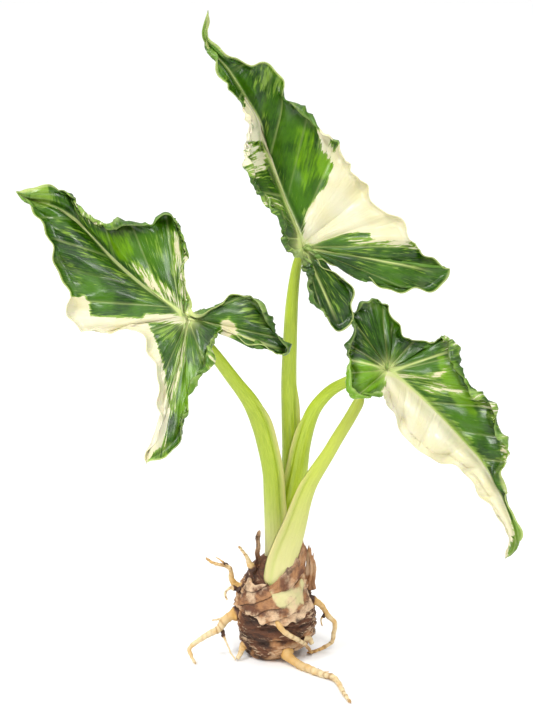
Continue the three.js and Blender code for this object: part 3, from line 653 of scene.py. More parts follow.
def build_blade(name, blade, sizes, seed):
    """One blade as a sheet: both halves from the notch round the lobes to the tip."""
    columns, rows = sizes.columns, sizes.rows
    piece, across, along = grid(name, columns, rows)
    points = np.zeros((rows + 1, columns + 1, 3))
    uv = np.zeros((rows + 1, columns + 1, 2))
    values = {key: np.zeros((rows + 1, columns + 1)) for key in KINDS}
    for half, chosen in enumerate((across <= 1e-9, across >= -1e-9)):
        side = across[chosen]
        order = slice(None, None, -1) if half == 0 else slice(None)
        made = half_surface(blade, half, along, side[order])
        made["across"] = side[order]
        normal, made["spread"] = facing(made["points"])
        normal = normal if normal[..., 2].mean() > 0 else -normal
        height, *shown = half_relief(blade, half, made, sizes, seed + half)
        patches = patch_values(blade, half, made["points"][..., 0], made["points"][..., 1])
        last = made["margin"][-1]
        ends = smooth(made["margin"], 0, 4) * (1 - smooth(made["margin"], last - 6, last))
        moved = made["points"] + normal * (height * ends[:, None])[..., None]
        here = np.flatnonzero(chosen)[order]
        points[:, here] = moved
        uv[:, here, 0] = made["margin"][:, None] / 100 + half * 5
        uv[:, here, 1] = made["out"] / 100
        for key, value in zip(KINDS, (*patches.values(), *shown, made["rolled"])):
            values[key][:, here] = value
    toward = points[..., 2] + blade["tilt"][0] * points[..., 0] + blade["tilt"][1] * points[..., 1]
    x, y, z = blade["heart"]
    places = np.dstack([
        x + points[..., 0],
        y + points[..., 1] * math.sin(BOARD_LEAN) - toward * math.cos(BOARD_LEAN),
        z + points[..., 1] * math.cos(BOARD_LEAN) + toward * math.sin(BOARD_LEAN),
    ])
    shape(piece, places, uv, values)
    weld(piece, closed=False)
    if sum((face.normal.y * face.area for face in piece.data.polygons), 0.0) > 0:
        piece.data.flip_normals()
    return piece


# Limbs: stalks, leaf bases and roots.

def limb_frames(path, along, upright):
    """Places, side ways and front ways along a path."""
    fine = spline(path, np.linspace(0, 1, 600))
    run = np.concatenate([[0], np.cumsum(np.linalg.norm(np.diff(fine, axis=0), axis=1))])
    centre = np.stack([np.interp(along * run[-1], run, fine[:, k]) for k in range(3)], axis=1)
    tangent = unit(np.gradient(centre, axis=0))
    if upright:
        side = unit(np.cross(tangent, (0.0, -1.0, 0.0)))
        return centre, side, unit(np.cross(side, tangent)), run[-1]
    side = np.zeros_like(tangent)
    side[0] = unit(np.cross(tangent[0], (0.31, -0.22, 0.92)))
    for i in range(1, len(tangent)):
        side[i] = unit(side[i - 1] - tangent[i] * (side[i - 1] @ tangent[i]))
    return centre, side, unit(np.cross(side, tangent)), run[-1]


def rounded_ends(along, ratio):
    """Goes to nothing at both ends, as a quarter circle."""
    first = np.clip(along / ratio, 0, 1)
    last = np.clip((1 - along) / ratio, 0, 1)
    return np.sqrt(1 - (1 - first) ** 2) * np.sqrt(1 - (1 - last) ** 2)


def build_limb(name, path, sections, upright, faces, relief, ends):
    """A closed limb; relief gives extra height in millimetres from the turn and the length."""
    piece, across, along = grid(name, *faces)
    centre, side, front, length = limb_frames(path, along, upright)
    table = np.asarray(sections, float)
    width = np.interp(along, table[:, 0], table[:, 1])
    depth = np.interp(along, table[:, 0], table[:, 2])
    turn = across * math.pi
    closing = rounded_ends(along, ends)
    extra = relief(turn, along, length)
    wide = (width[:, None] / 2 + extra) * closing[:, None]
    deep = (depth[:, None] / 2 + extra) * closing[:, None]
    points = (
        centre[:, None, :]
        + side[:, None, :] * (np.cos(turn)[None, :] * wide)[..., None]
        + front[:, None, :] * (np.sin(turn)[None, :] * deep)[..., None]
    )
    points[..., 2] = np.maximum(points[..., 2], 0)
    uv = np.dstack(np.meshgrid((across + 1) / 2, along * length / 100))
    return piece, points, uv, along, turn


def stalk_relief(wing):
    """The sheath's thin edge with the groove beside it, and the fine ridges of a stalk."""
    angle, until, height = math.radians(wing[0]), wing[1], wing[2]

    def relief(turn, along, length):
        apart = np.abs((turn[None, :] - angle + math.pi) % (2 * math.pi) - math.pi)
        fade = (1 - smooth(along, until - 0.1, until))[:, None] * smooth(along, 0.02, 0.16)[:, None]
        edge = np.exp(-((apart / 0.13) ** 2)) * height
        inner = (turn[None, :] - angle) * (-1 if math.cos(angle) < 0 else 1)
        groove = -0.7 * np.exp(-(((np.abs(inner) - 0.38) / 0.16) ** 2))
        ridges = 0.05 * np.sin(turn * 19)[None, :] + 0 * along[:, None]
        return (edge + groove) * fade + ridges

    return relief


def build_stalk(name, stalk):
    """One leaf stalk, with the places of its sheath's edge and groove."""
    relief = stalk_relief(stalk["wing"])
    piece, points, uv, along, turn = build_limb(
        name, stalk["path"], stalk["sections"], True, STALK_GRID, relief, stalk["ends"])
    angle, until, _height = stalk["wing"]
    apart = np.abs((turn[None, :] - math.radians(angle) + math.pi) % (2 * math.pi) - math.pi)
    fade = (1 - smooth(along, until - 0.12, until))[:, None]
    values = {
        "wing": np.exp(-((apart / 0.2) ** 2)) * fade,
        # groove marks where painted shade darkens the stalk beside the sheath's edge
        "groove": np.exp(-(((apart - 0.4) / 0.18) ** 2)) * fade,
        "up": np.repeat(along[:, None], len(turn), axis=1),
    }
    shape(piece, points, uv, values)
    weld(piece, closed=True)
    return piece


def build_leaf_base(name, base, seed):
    """One torn old leaf base, ragged at its top."""
    def relief(turn, along, length):
        ragged = np.sin(turn * 3 + seed)[None, :] * smooth(along, 0.6, 1)[:, None]
        return 0.3 * np.sin(turn * 7 + seed)[None, :] * (along[:, None] * 0 + 1) + 0.5 * ragged

    piece, points, uv, along, turn = build_limb(
        name, base["path"], base["sections"], True, LEAF_BASE_GRID, relief, 0.05)
    points[..., 0] += 0.5 * rough(points, 4, seed)
    points[..., 1] += 0.6 * rough(points, 5, seed + 1)
    tear = rough(np.dstack([points[..., 0], points[..., 1], 0 * points[..., 2]]), 1.3, seed + 2)
    points[..., 2] += 4 * tear * smooth(along, 0.5, 1)[:, None]
    values = {"up": np.repeat(along[:, None], len(turn), axis=1)}
    shape(piece, points, uv, values)
    weld(piece, closed=True)
    return piece


def build_root(name, root, seed):
    """One root, with a barky knob at the corm and rings along it."""
    path, thick, thin = root
    run = sum(math.dist(a, b) for a, b in zip(path, path[1:]))
    knob, neck = min(0.3, 3.5 / run), min(0.5, 8 / run)
    middle = thin + 0.35 * (thick - thin)
    widths = (
        (0, thick * 1.9), (knob, thick * 1.7), (neck, thick * 0.95), (0.62, middle), (0.95, thin),
        (1, thin * 0.6),
    )
    sections = [(place, width, width) for place, width in widths]

    def rings(turn, along, length):
        place = along[:, None] * length + 0.5 * np.sin(turn)[None, :]
        place = place + 0.35 * np.sin(2 * turn + seed)[None, :]
        spacing = 3.1 + 0.9 * math.sin(seed)
        wander = 0.4 * np.sin(place / 2.9 + seed) + 0.3 * np.sin(place / 1.3)
        clear = 0.35 + 0.65 * (np.sin(place / 5.1 + 2 * seed) > -0.2)
        return clear * np.exp(-((((place + wander) / spacing) % 1 - 0.5) / 0.16) ** 2)

    def relief(turn, along, length):
        ring = np.stack([
            np.cos(turn)[None, :] * 2 + 0 * along[:, None],
            np.sin(turn)[None, :] * 2 + 0 * along[:, None],
            along[:, None] * length + 0 * turn[None, :],
        ], axis=-1)
        bark = (1 - smooth(along, knob, neck))[:, None]
        scale = 0.35 + 0.12 * thick
        bumps = (0.16 * scale + 0.6 * bark) * rough(ring, 1.7, seed) + 0.22 * scale * rough(ring, 4, seed + 1)
        return bumps + 0.16 * scale * rings(turn, along, length) * (1 - bark)

    piece, points, uv, along, turn = build_limb(name, path, sections, False, ROOT_GRID, relief, 0.03)
    values = {
        "up": np.repeat(along[:, None], len(turn), axis=1),
        "ring": rings(turn, along, run),
        "bark": (1 - smooth(along, knob * 0.9, neck * 0.8))[:, None] + 0 * turn[None, :],
    }
    shape(piece, points, uv, values)
    weld(piece, closed=True)
    return piece


# The corm and its front collar.

def corm_skin(turn, height, radius):
    """Points on the corm's uneven skin, at turns round its axis and heights."""
    lump = 1 + 0.035 * np.sin(3 * turn + 0.16 * height) + 0.02 * np.sin(5 * turn - 0.3 * height)
    shift = CORM_SHIFT * smooth(height, 0, 7)
    return np.stack([
        shift + radius * lump * np.cos(turn),
        radius * lump * np.sin(turn),
        height,
    ], axis=-1)


def corm_radius(height):
    """The corm's radius at each height."""
    heights = [level for _radius, level in CORM_PROFILE] + [CORM_TOP]
    radii = [radius for radius, _level in CORM_PROFILE] + [0]
    return np.interp(height, heights, radii)


def scale_steps(turn, height, seed):
    """Old scars: ledges that ring the corm and wander up and down."""
    wander = 4.5 * np.sin(turn + 0.9 + seed) + 1.6 * np.sin(3 * turn + seed)
    wander = wander + 0.7 * np.sin(7 * turn + 2 * seed)
    place = (height + wander) / 8.5
    return place - np.floor(place)


def build_corm(sizes):
    """The corm, with its ledged scars and lumps."""
    piece, across, along = grid("corm_body", *CORM_GRID)
    turn = across[None, :] * math.pi + 0 * along[:, None]
    profile = np.array([(0, 0), *CORM_PROFILE, (0, CORM_TOP)], float)
    run = np.concatenate([[0], np.cumsum(np.linalg.norm(np.diff(profile, axis=0), axis=1))])
    radius = np.interp(along * run[-1], run, profile[:, 0])[:, None] + 0 * turn
    height = np.interp(along * run[-1], run, profile[:, 1])[:, None] + 0 * turn
    base = corm_skin(turn, height, radius)
    step = scale_steps(turn, height, 1.7)
    tall = 1 - smooth(height, 40, 50)
    stretched = base * np.array((1.0, 1.0, 2.6))
    relief = sizes.scale_step / MM * (0.55 - step) + 0.75 * rough(stretched, 6, 2)
    relief += 0.45 * rough(stretched, 2.2, 5)
    relief += 0.9 * rough(base, 13, 9)
    relief *= tall * smooth(height, 0.4, 4) * smooth(radius, 2, 9)
    moved = corm_skin(turn, height, np.maximum(radius + relief - 0.5 * smooth(height, 0.4, 4), 0))
    values = {"step": step, "lump": np.clip(relief / 2 + 0.5, 0, 1)}
    uv = np.dstack(np.meshgrid((across + 1) / 2, along))
    shape(piece, moved, uv, values)
    weld(piece, closed=True)
    return piece


def build_collar(sizes):
    """The torn sleeve round the front of the corm, with a wall of its own."""
    piece, across, along = grid("leaf_base_front_collar", *COLLAR_GRID)
    share = (across[None, :] + 1) / 2 + 0 * along[:, None]
    turn = np.radians(COLLAR["from"] + (COLLAR["to"] - COLLAR["from"]) * share)
    torn = 1.0 * np.sin(9 * share) + 0.5 * np.sin(31 * share) + 0.35 * np.sin(67 * share + 1)
    low = COLLAR["low"] - COLLAR["dip"] * np.sin(math.pi * share) + torn
    height = low + (COLLAR["high"] + 0.8 * np.sin(23 * share) - low) * along[:, None]
    stand = 1.2 + 0.6 * along[:, None]
    patch = ((-104, 42), (-86, 34), (-66, 30), (-46, 33), (-32, 41), (-36, 46), (-60, 42), (-84, 46))
    green = inside(patch, np.degrees(turn), height)
    around = np.dstack([turn * 18, height, 0 * turn])
    wraps = (height - 8 * turn + 1.5 * rough(around, 9, 6)) / 6.5
    crease = 1.1 * (0.6 - wraps + np.floor(wraps)) + 0.5 * rough(around, 3, 4)
    crease *= 1 - 0.85 * smooth(green, -1.5, 1.5)
    points = corm_skin(turn, height, corm_radius(height) + stand + crease)
    ledge = 1 - wraps + np.floor(wraps)
    values = {"green": smooth(green, -3, 3), "ledge": 1 - ledge, "up": along[:, None] + 0 * turn}
    uv = np.dstack([share, height / 40])
    shape(piece, points, uv, values)
    weld(piece, closed=False)
    centre = Vector((CORM_SHIFT * MM, 0, 0))
    outward = sum(face.normal.dot(face.center - centre) * face.area for face in piece.data.polygons)
    if outward < 0:
        piece.data.flip_normals()
    give_wall(piece, sizes.collar_thickness)
    return piece


# Materials.

class Recipe:
    """A material's nodes, made in order, with short calls to add and join them."""

    def __init__(self, name):
        self.material = bpy.data.materials.new(name)
        self.material.use_nodes = True
        self.tree = self.material.node_tree
        self.surface = self.tree.nodes["Principled BSDF"]

    def node(self, kind, **settings):
        made = self.tree.nodes.new(kind)
        for key, value in settings.items():
            setattr(made, key, value)
        return made

    def link(self, source, target):
        self.tree.links.new(source, target)

    def value(self, name):
        return self.node("ShaderNodeAttribute", attribute_name=name).outputs["Fac"]

    def math(self, operation, first, second):
        made = self.node("ShaderNodeMath", operation=operation)
        for socket, given in zip(made.inputs, (first, second)):
            if isinstance(given, (int, float)):
                socket.default_value = given
            else:
                self.link(given, socket)
        return made.outputs[0]

    def times(self, first, second):
        return self.math("MULTIPLY", first, second)

    def plus(self, first, second):
        return self.math("ADD", first, second)

    def minus(self, first, second):
        return self.math("SUBTRACT", first, second)

    def centred(self, source, span):
        """A noise turned into a value round nought, span wide."""
        return self.times(self.minus(source, 0.5), span)

    def noise(self, scale, stretch=(1, 1, 1), detail=4, on_uv=False, roughness=0.55, turn=(0, 0, 0)):
        place = self.node("ShaderNodeTexCoord").outputs["UV" if on_uv else "Object"]
        mapping = self.node("ShaderNodeMapping")
        mapping.inputs["Scale"].default_value = stretch
        mapping.inputs["Rotation"].default_value = turn
        texture = self.node("ShaderNodeTexNoise")
        texture.inputs["Scale"].default_value = scale
        texture.inputs["Detail"].default_value = detail
        texture.inputs["Roughness"].default_value = roughness
        self.link(place, mapping.inputs["Vector"])
        self.link(mapping.outputs[0], texture.inputs["Vector"])
        return texture.outputs["Fac"]

    def ramp(self, source, low, high):
        made = self.node("ShaderNodeMapRange", interpolation_type="SMOOTHSTEP")
        made.inputs["From Min"].default_value = low
        made.inputs["From Max"].default_value = high
        self.link(source, made.inputs["Value"])
        return made.outputs[0]

    def mix(self, amount, first, second):
        made = self.node("ShaderNodeMix", data_type="RGBA")
        self.link(amount, made.inputs["Factor"])
        for socket, given in ((made.inputs[6], first), (made.inputs[7], second)):
            if isinstance(given, bpy.types.NodeSocket):
                self.link(given, socket)
            else:
                socket.default_value = (*given, 1)
        return made.outputs[2]

    def bump(self, source, strength, distance, after=None):
        made = self.node("ShaderNodeBump")
        made.inputs["Strength"].default_value = strength
        made.inputs["Distance"].default_value = distance
        self.link(source, made.inputs["Height"])
        if after is not None:
            self.link(after, made.inputs["Normal"])
        return made.outputs["Normal"]

    def paint(self, colour, roughness, normal=None):
        self.link(colour, self.surface.inputs["Base Color"])
        if isinstance(roughness, (int, float)):
            self.surface.inputs["Roughness"].default_value = roughness
        else:
            self.link(roughness, self.surface.inputs["Roughness"])
        if normal is not None:
            self.link(normal, self.surface.inputs["Normal"])
        return self.material


def reach(recipe, name, long_streaks, fine_streaks, spread):
    """A patch's stored reach, broken into streaks along the side veins."""
    shifted = recipe.centred(long_streaks, spread)
    finer = recipe.centred(fine_streaks, spread * 0.6)
    return recipe.plus(recipe.value(name), recipe.plus(shifted, finer))


def leaf_material(name, colours, back):
    """The blade: streaked greens, cream areas, veins and rolled lips, with painted sheen, glow, highlights
    and crease shade among them; the back is paler.
    """
    recipe = Recipe(name)
    long_streaks = recipe.noise(6, (7, 1.3, 1), detail=4, on_uv=True)
    fine_streaks = recipe.noise(15, (8, 1.1, 1), detail=4, on_uv=True)
    blotches = recipe.noise(45, detail=5)
    green = recipe.mix(recipe.ramp(blotches, 0.38, 0.66), colours.leaf_dark, colours.leaf_mid)
    # Fine mid-green streaks: partly the blade's own streaking, partly painted sheen along the side veins.
    fine_green_and_sheen = recipe.times(recipe.ramp(fine_streaks, 0.47, 0.66), 0.7)
    green = recipe.mix(fine_green_and_sheen, green, colours.leaf_mid)
    # Lime patches: partly the blade's own yellow-green, partly painted glow of light shining through it.
    lime_glow = recipe.ramp(reach(recipe, "lime_glow", long_streaks, blotches, 1.2), 0.25, 0.75)
    green = recipe.mix(lime_glow, green, colours.leaf_lime_glow)
    # Light patches: partly paler grey-green in the blade, partly painted sheen.
    light = recipe.ramp(reach(recipe, "light", long_streaks, fine_streaks, 1.7), 0.4, 0.85)
    green = recipe.mix(recipe.times(light, 0.85), green, colours.leaf_light)
    mottle = recipe.noise(100, detail=3)
    # Pale and dark mottles on rolled lips: partly the lips' own mottling, partly painted highlights and shade
    # on their puckers.
    lip = recipe.times(recipe.value("rolled"), recipe.ramp(mottle, 0.52, 0.68))
    green = recipe.mix(recipe.times(lip, 0.6), green, colours.leaf_pale)
    dark_lip = recipe.times(recipe.value("rolled"), recipe.ramp(recipe.noise(70, detail=3), 0.46, 0.62))
    green = recipe.mix(recipe.times(dark_lip, 0.5), green, colours.leaf_dark)
    cream_reach = reach(recipe, "cream", long_streaks, fine_streaks, 1.3)
    fringe = recipe.times(recipe.ramp(cream_reach, 0.22, 0.4), 0.8)
    green = recipe.mix(fringe, green, colours.leaf_light)
    # Painted shade: the creases beside the midrib and under rolled margins are darkened to dark green.
    green = recipe.mix(recipe.times(recipe.value("crease_shade"), 0.75), green, colours.leaf_dark)
    green = recipe.mix(recipe.times(recipe.value("vein"), 0.85), green, colours.leaf_vein)
    green = recipe.mix(recipe.times(recipe.value("rim"), 0.6), green, colours.leaf_vein)
    cream = recipe.mix(recipe.ramp(blotches, 0.3, 0.75), colours.cream, colours.cream_warm)
    mask = recipe.ramp(cream_reach, 0.45, 0.53)
    colour = recipe.mix(mask, green, cream)
    midrib = recipe.times(recipe.ramp(recipe.value("vein"), 0.45, 0.9), 0.6)
    colour = recipe.mix(midrib, colour, colours.leaf_vein)
    if back:
        pale = recipe.times(recipe.minus(1, mask), 0.65)
        rim = recipe.minus(1, recipe.times(recipe.value("rolled"), 0.75))
        colour = recipe.mix(recipe.times(pale, rim), colour, colours.leaf_back)
    lines = recipe.noise(9, (10, 0.5, 1), detail=3, on_uv=True)
    fine = recipe.bump(lines, 0.5, 0.001)
    normal = recipe.bump(recipe.noise(170, detail=2), 0.25, 0.0006, fine)
    gloss = recipe.ramp(blotches, -0.6, 2.6)
    shine = recipe.plus(recipe.times(gloss, 0.2), 0.3 if back else 0.2)
    recipe.surface.inputs["Specular IOR Level"].default_value = 0.25
    recipe.surface.inputs["Coat Weight"].default_value = 0.25 if back else 0.32
    recipe.surface.inputs["Coat Roughness"].default_value = 0.2
    recipe.surface.inputs["Subsurface Weight"].default_value = 0.12
    recipe.surface.inputs["Subsurface Radius"].default_value = (0.4, 0.8, 0.1)
    recipe.surface.inputs["Subsurface Scale"].default_value = 0.0015
    return recipe.paint(colour, shine, normal)


def stalk_material(name, colours, paleness):
    """A stalk: green stripes that grow paler toward its foot."""
    recipe = Recipe(name)
    stripes = recipe.noise(40, (5, 0.35, 1), detail=4, on_uv=True)
    clouds = recipe.noise(28, detail=3)
    up = recipe.value("up")
    height = recipe.plus(up, recipe.centred(clouds, 0.18))
    green = recipe.mix(recipe.ramp(stripes, 0.36, 0.66), colours.stalk, colours.stalk_deep)
    colour = recipe.mix(recipe.ramp(height, -0.02, 0.2 + 0.5 * paleness), colours.stalk_base, green)
    if paleness > 0.5:
        colour = recipe.mix(recipe.times(stripes, 0.5), colour, colours.stalk_pale)
    wing = recipe.times(recipe.value("wing"), 0.7)
    colour = recipe.mix(wing, colour, colours.sheath_edge)
    # Painted shade: the groove beside the sheath's edge is darkened to deep green.
    colour = recipe.mix(recipe.times(recipe.value("groove"), 0.3), colour, colours.stalk_deep)
    specks = recipe.ramp(recipe.noise(420, detail=1), 0.74, 0.8)
    colour = recipe.mix(recipe.times(specks, 0.25), colour, colours.bark_tan)
    normal = recipe.bump(stripes, 0.12, 0.0004)
    recipe.surface.inputs["Subsurface Weight"].default_value = 0.15
    recipe.surface.inputs["Subsurface Radius"].default_value = (0.8, 1.0, 0.25)
    recipe.surface.inputs["Subsurface Scale"].default_value = 0.003
    return recipe.paint(colour, 0.38, normal)


def corm_material(colours):
    """Dark and brown bark with papery pale flakes."""
    recipe = Recipe("corm_skin")
    bands = recipe.noise(75, (1, 1, 2.4), detail=6, roughness=0.65, turn=(0.15, 0.5, 0))
    patches = recipe.noise(45, (1, 1, 1.3), detail=4)
    fibres = recipe.noise(260, (1, 1, 4), detail=4, roughness=0.7, turn=(0.2, 0.55, 0))
    colour = recipe.mix(recipe.ramp(bands, 0.38, 0.62), colours.bark_dark, colours.bark_brown)
    colour = recipe.mix(recipe.ramp(patches, 0.5, 0.6), colour, colours.bark_tan)
    pale = recipe.times(recipe.ramp(patches, 0.56, 0.64), recipe.ramp(bands, 0.45, 0.6))
    colour = recipe.mix(recipe.times(pale, 0.8), colour, colours.bark_pink)
    flakes = recipe.ramp(recipe.plus(fibres, recipe.times(recipe.value("lump"), 0.2)), 0.68, 0.78)
    colour = recipe.mix(recipe.times(flakes, 0.6), colour, colours.bark_pink)
    ledge = recipe.ramp(recipe.value("step"), 0.86, 0.98)
    colour = recipe.mix(recipe.times(ledge, 0.8), colour, colours.bark_dark)
    coarse = recipe.bump(bands, 0.7, 0.0012)
    return recipe.paint(colour, 0.75, recipe.bump(fibres, 0.6, 0.0006, coarse))


def leaf_base_material(name, colours, torn):
    """Papery old leaf bases; the collar also has ledges and a green patch."""
    recipe = Recipe(name)
    slope = (0, 0, 0) if torn else (0.1, 0.6, 0)
    sheets = recipe.noise(60, (2.6, 2.6, 0.4) if torn else (1, 1, 1.8), detail=6, roughness=0.62, turn=slope)
    fibres = recipe.noise(200, (3, 3, 0.3) if torn else (1, 1, 3), detail=4, roughness=0.7, turn=slope)
    colour = recipe.mix(recipe.ramp(sheets, 0.42, 0.58), colours.bark_brown, colours.bark_tan)
    pale = recipe.ramp(recipe.noise(70, (1, 1, 0.8), detail=6, roughness=0.62, turn=slope), 0.46, 0.58)
    colour = recipe.mix(recipe.times(pale, 0.5 if torn else 0.85), colour, colours.bark_pink)
    colour = recipe.mix(recipe.times(recipe.ramp(fibres, 0.52, 0.64), 0.35), colour, colours.bark_dark)
    if not torn:
        dark = recipe.times(recipe.ramp(recipe.value("ledge"), 0.8, 0.98), 0.7)
        colour = recipe.mix(dark, colour, colours.bark_dark)
        blots = recipe.noise(170, (1, 1, 0.5), detail=5)
        spread = recipe.centred(blots, 2.2)
        patch = recipe.plus(recipe.value("green"), spread)
        clouds = recipe.ramp(recipe.noise(90, detail=4), 0.42, 0.62)
        tint = recipe.mix(clouds, colours.stalk_base, colours.bark_pink)
        colour = recipe.mix(recipe.times(recipe.ramp(patch, 0.45, 0.95), 0.85), colour, tint)
    dark = recipe.ramp(recipe.noise(90, detail=6, roughness=0.65), 0.53, 0.64)
    if not torn:
        dark = recipe.times(dark, recipe.minus(1, recipe.value("green")))
    colour = recipe.mix(recipe.times(dark, 0.8), colour, colours.bark_dark)
    return recipe.paint(colour, 0.62, recipe.bump(fibres, 0.5, 0.0006))


def root_material(colours):
    """Cream and golden roots with brown rings and barky knobs."""
    recipe = Recipe("root_skin")
    clouds = recipe.noise(120, detail=4)
    stains = recipe.noise(70, detail=5)
    colour = recipe.mix(recipe.ramp(clouds, 0.4, 0.72), colours.root_cream, colours.root_gold)
    ring = recipe.times(recipe.value("ring"), recipe.ramp(stains, 0.38, 0.6))
    colour = recipe.mix(recipe.times(ring, 0.75), colour, colours.root_brown)
    colour = recipe.mix(recipe.times(recipe.ramp(stains, 0.6, 0.68), 0.7), colour, colours.root_brown)
    start = recipe.plus(recipe.value("up"), recipe.centred(clouds, 0.12))
    gold = recipe.minus(1, recipe.ramp(start, 0.12, 0.42))
    colour = recipe.mix(recipe.times(gold, 0.7), colour, colours.root_gold)
    bark = recipe.plus(recipe.value("bark"), recipe.centred(clouds, 1.4))
    colour = recipe.mix(recipe.ramp(bark, 0.2, 0.6), colour, colours.bark_brown)
    colour = recipe.mix(recipe.times(recipe.ramp(bark, 0.5, 0.8), 0.8), colour, colours.bark_dark)
    tip = recipe.ramp(start, 0.94, 1.0)
    colour = recipe.mix(recipe.times(tip, 0.6), colour, colours.root_brown)
    recipe.surface.inputs["Subsurface Weight"].default_value = 0.15
    recipe.surface.inputs["Subsurface Radius"].default_value = (1.0, 0.7, 0.4)
    recipe.surface.inputs["Subsurface Scale"].default_value = 0.0015
    return recipe.paint(colour, 0.6, recipe.bump(clouds, 0.35, 0.0005))


# Settings.

def metres(description, value):
    """A setting that holds a length."""
    return bpy.props.FloatProperty(
        name=description.capitalize(), description=description, default=value, min=0, unit="LENGTH",
        precision=5)


def shade(description, *value):
    """A setting that holds a colour."""
    return bpy.props.FloatVectorProperty(
        name=description.capitalize(), description=description, default=value, subtype="COLOR", min=0, max=1)


class AlocasiaSizes(bpy.types.PropertyGroup):
    """Sizes of the fine shapes."""

    blade_thickness: metres("thickness of a blade", 0.00045)
    ripple: metres("height of the ripples along a blade's margin", 0.0019)
    quilt: metres("height of the swelling between side veins", 0.0016)
    pucker: metres("height of the puckers on a rolled margin", 0.0016)
    scale_step: metres("height of the old scars round the corm", 0.0018)
    collar_thickness: metres("thickness of the front leaf base", 0.0009)
    rows: bpy.props.IntProperty(name="Rows", description="faces along a blade", default=250, min=20)
    columns: bpy.props.IntProperty(name="Columns", description="faces across a blade", default=156, min=20)


class AlocasiaColours(bpy.types.PropertyGroup):
    """Colours of the plant."""

    leaf_dark: shade("dark leaf green", 0.009, 0.04, 0.0005)
    leaf_mid: shade("mid leaf green", 0.05, 0.15, 0.001)
    # Paler green of the blade, also the colour of the painted sheen in the light patches.
    leaf_light: shade("pale grey green", 0.23, 0.37, 0.04)
    # Partly painted highlight on the puckers of rolled lips.
    leaf_pale: shade("pale puckers", 0.36, 0.5, 0.13)
    # Partly painted glow of light shining through the blade.
    leaf_lime_glow: shade("bright translucent green", 0.13, 0.29, 0.001)
    leaf_vein: shade("vein green", 0.58, 0.65, 0.23)
    leaf_back: shade("back of the leaf", 0.13, 0.27, 0.03)
    cream: shade("cream of the leaf", 0.68, 0.65, 0.48)
    cream_warm: shade("warm cream of the leaf", 0.66, 0.6, 0.34)
    stalk: shade("stalk green", 0.47, 0.57, 0.04)
    stalk_deep: shade("deep stalk green", 0.31, 0.43, 0.015)
    stalk_pale: shade("pale stalk", 0.6, 0.54, 0.17)
    stalk_base: shade("foot of the stalk", 0.64, 0.61, 0.29)
    sheath_edge: shade("dry edge of the sheath", 0.6, 0.52, 0.22)
    bark_dark: shade("dark bark", 0.035, 0.014, 0.006)
    bark_brown: shade("brown bark", 0.13, 0.045, 0.016)
    bark_tan: shade("tan bark", 0.38, 0.18, 0.07)
    bark_pink: shade("papery bark", 0.7, 0.5, 0.31)
    root_cream: shade("young root", 0.72, 0.58, 0.34)
    root_gold: shade("old root", 0.6, 0.34, 0.08)
    root_brown: shade("ring of a root", 0.28, 0.12, 0.02)


class AlocasiaStage(bpy.types.PropertyGroup):
    """Where the camera and the lights stand."""

    distance: metres("camera distance", 1.3)
    lean: bpy.props.FloatProperty(
        name="Camera height angle", description="how far the camera looks down", default=BOARD_LEAN,
        subtype="ANGLE")
    target: bpy.props.FloatVectorProperty(
        name="Target", description="what the camera looks at", default=(-0.0008, 0.0, 0.1613), subtype="XYZ")
    half_height: metres("half of the height in view", 0.17775)
    floor: metres("width of the floor", 6.0)


# Operators.

class ALOCASIA_OT_blades(bpy.types.Operator):
    """Build the three variegated blades"""

    bl_idname = "alocasia.blades"
    bl_label = "Blades"

    def execute(self, context):
        sizes, colours = context.scene.alocasia_sizes, context.scene.alocasia_colours
        face = leaf_material("leaf_face", colours, back=False)
        under = leaf_material("leaf_back", colours, back=True)
        for seed, (name, blade) in enumerate(BLADES.items()):
            piece = build_blade(f"{name}_leaf", blade, sizes, seed * 5 + 1)
            piece.data.materials.append(face)
            piece.data.materials.append(under)
            give_wall(piece, sizes.blade_thickness)
            finish(piece, (), "leaf_blade", name)
        return {"FINISHED"}


class ALOCASIA_OT_stalks(bpy.types.Operator):
    """Build the four leaf stalks"""

    bl_idname = "alocasia.stalks"
    bl_label = "Stalks"

    def execute(self, context):
        colours = context.scene.alocasia_colours
        for name, stalk in STALKS.items():
            piece = build_stalk(f"{name}_stalk", stalk)
            finish(piece, (stalk_material(f"{name}_skin", colours, stalk["paleness"]),), "stalk", name)
        return {"FINISHED"}


class ALOCASIA_OT_corm(bpy.types.Operator):
    """Build the corm"""

    bl_idname = "alocasia.corm"
    bl_label = "Corm"

    def execute(self, context):
        piece = build_corm(context.scene.alocasia_sizes)
        finish(piece, (corm_material(context.scene.alocasia_colours),), "corm_skin", "corm")
        return {"FINISHED"}


class ALOCASIA_OT_leaf_bases(bpy.types.Operator):
    """Build the old leaf bases round the corm"""

    bl_idname = "alocasia.leaf_bases"
    bl_label = "Leaf bases"

    def execute(self, context):
        sizes, colours = context.scene.alocasia_sizes, context.scene.alocasia_colours
        collar = build_collar(sizes)
        skin = leaf_base_material("collar_skin", colours, False)
        finish(collar, (skin,), "old_leaf_base", "leaf_base_front")
        torn = leaf_base_material("torn_base_skin", colours, True)
        for seed, (name, base) in enumerate(LEAF_BASES.items()):
            piece = build_leaf_base(f"{name}_flap", base, seed + 2)
            finish(piece, (torn,), "old_leaf_base", name)
        return {"FINISHED"}


class ALOCASIA_OT_roots(bpy.types.Operator):
    """Build the roots"""

    bl_idname = "alocasia.roots"
    bl_label = "Roots"

    def execute(self, context):
        skin = root_material(context.scene.alocasia_colours)
        for seed, (name, root) in enumerate(ROOTS.items()):
            finish(build_root(f"{name}_strand", root, seed + 1), (skin,), "root_skin", name)
        for seed, (name, branch) in enumerate(BRANCHES.items()):
            finish(build_root(name, branch, seed + 21), (skin,), "root_skin")
        return {"FINISHED"}


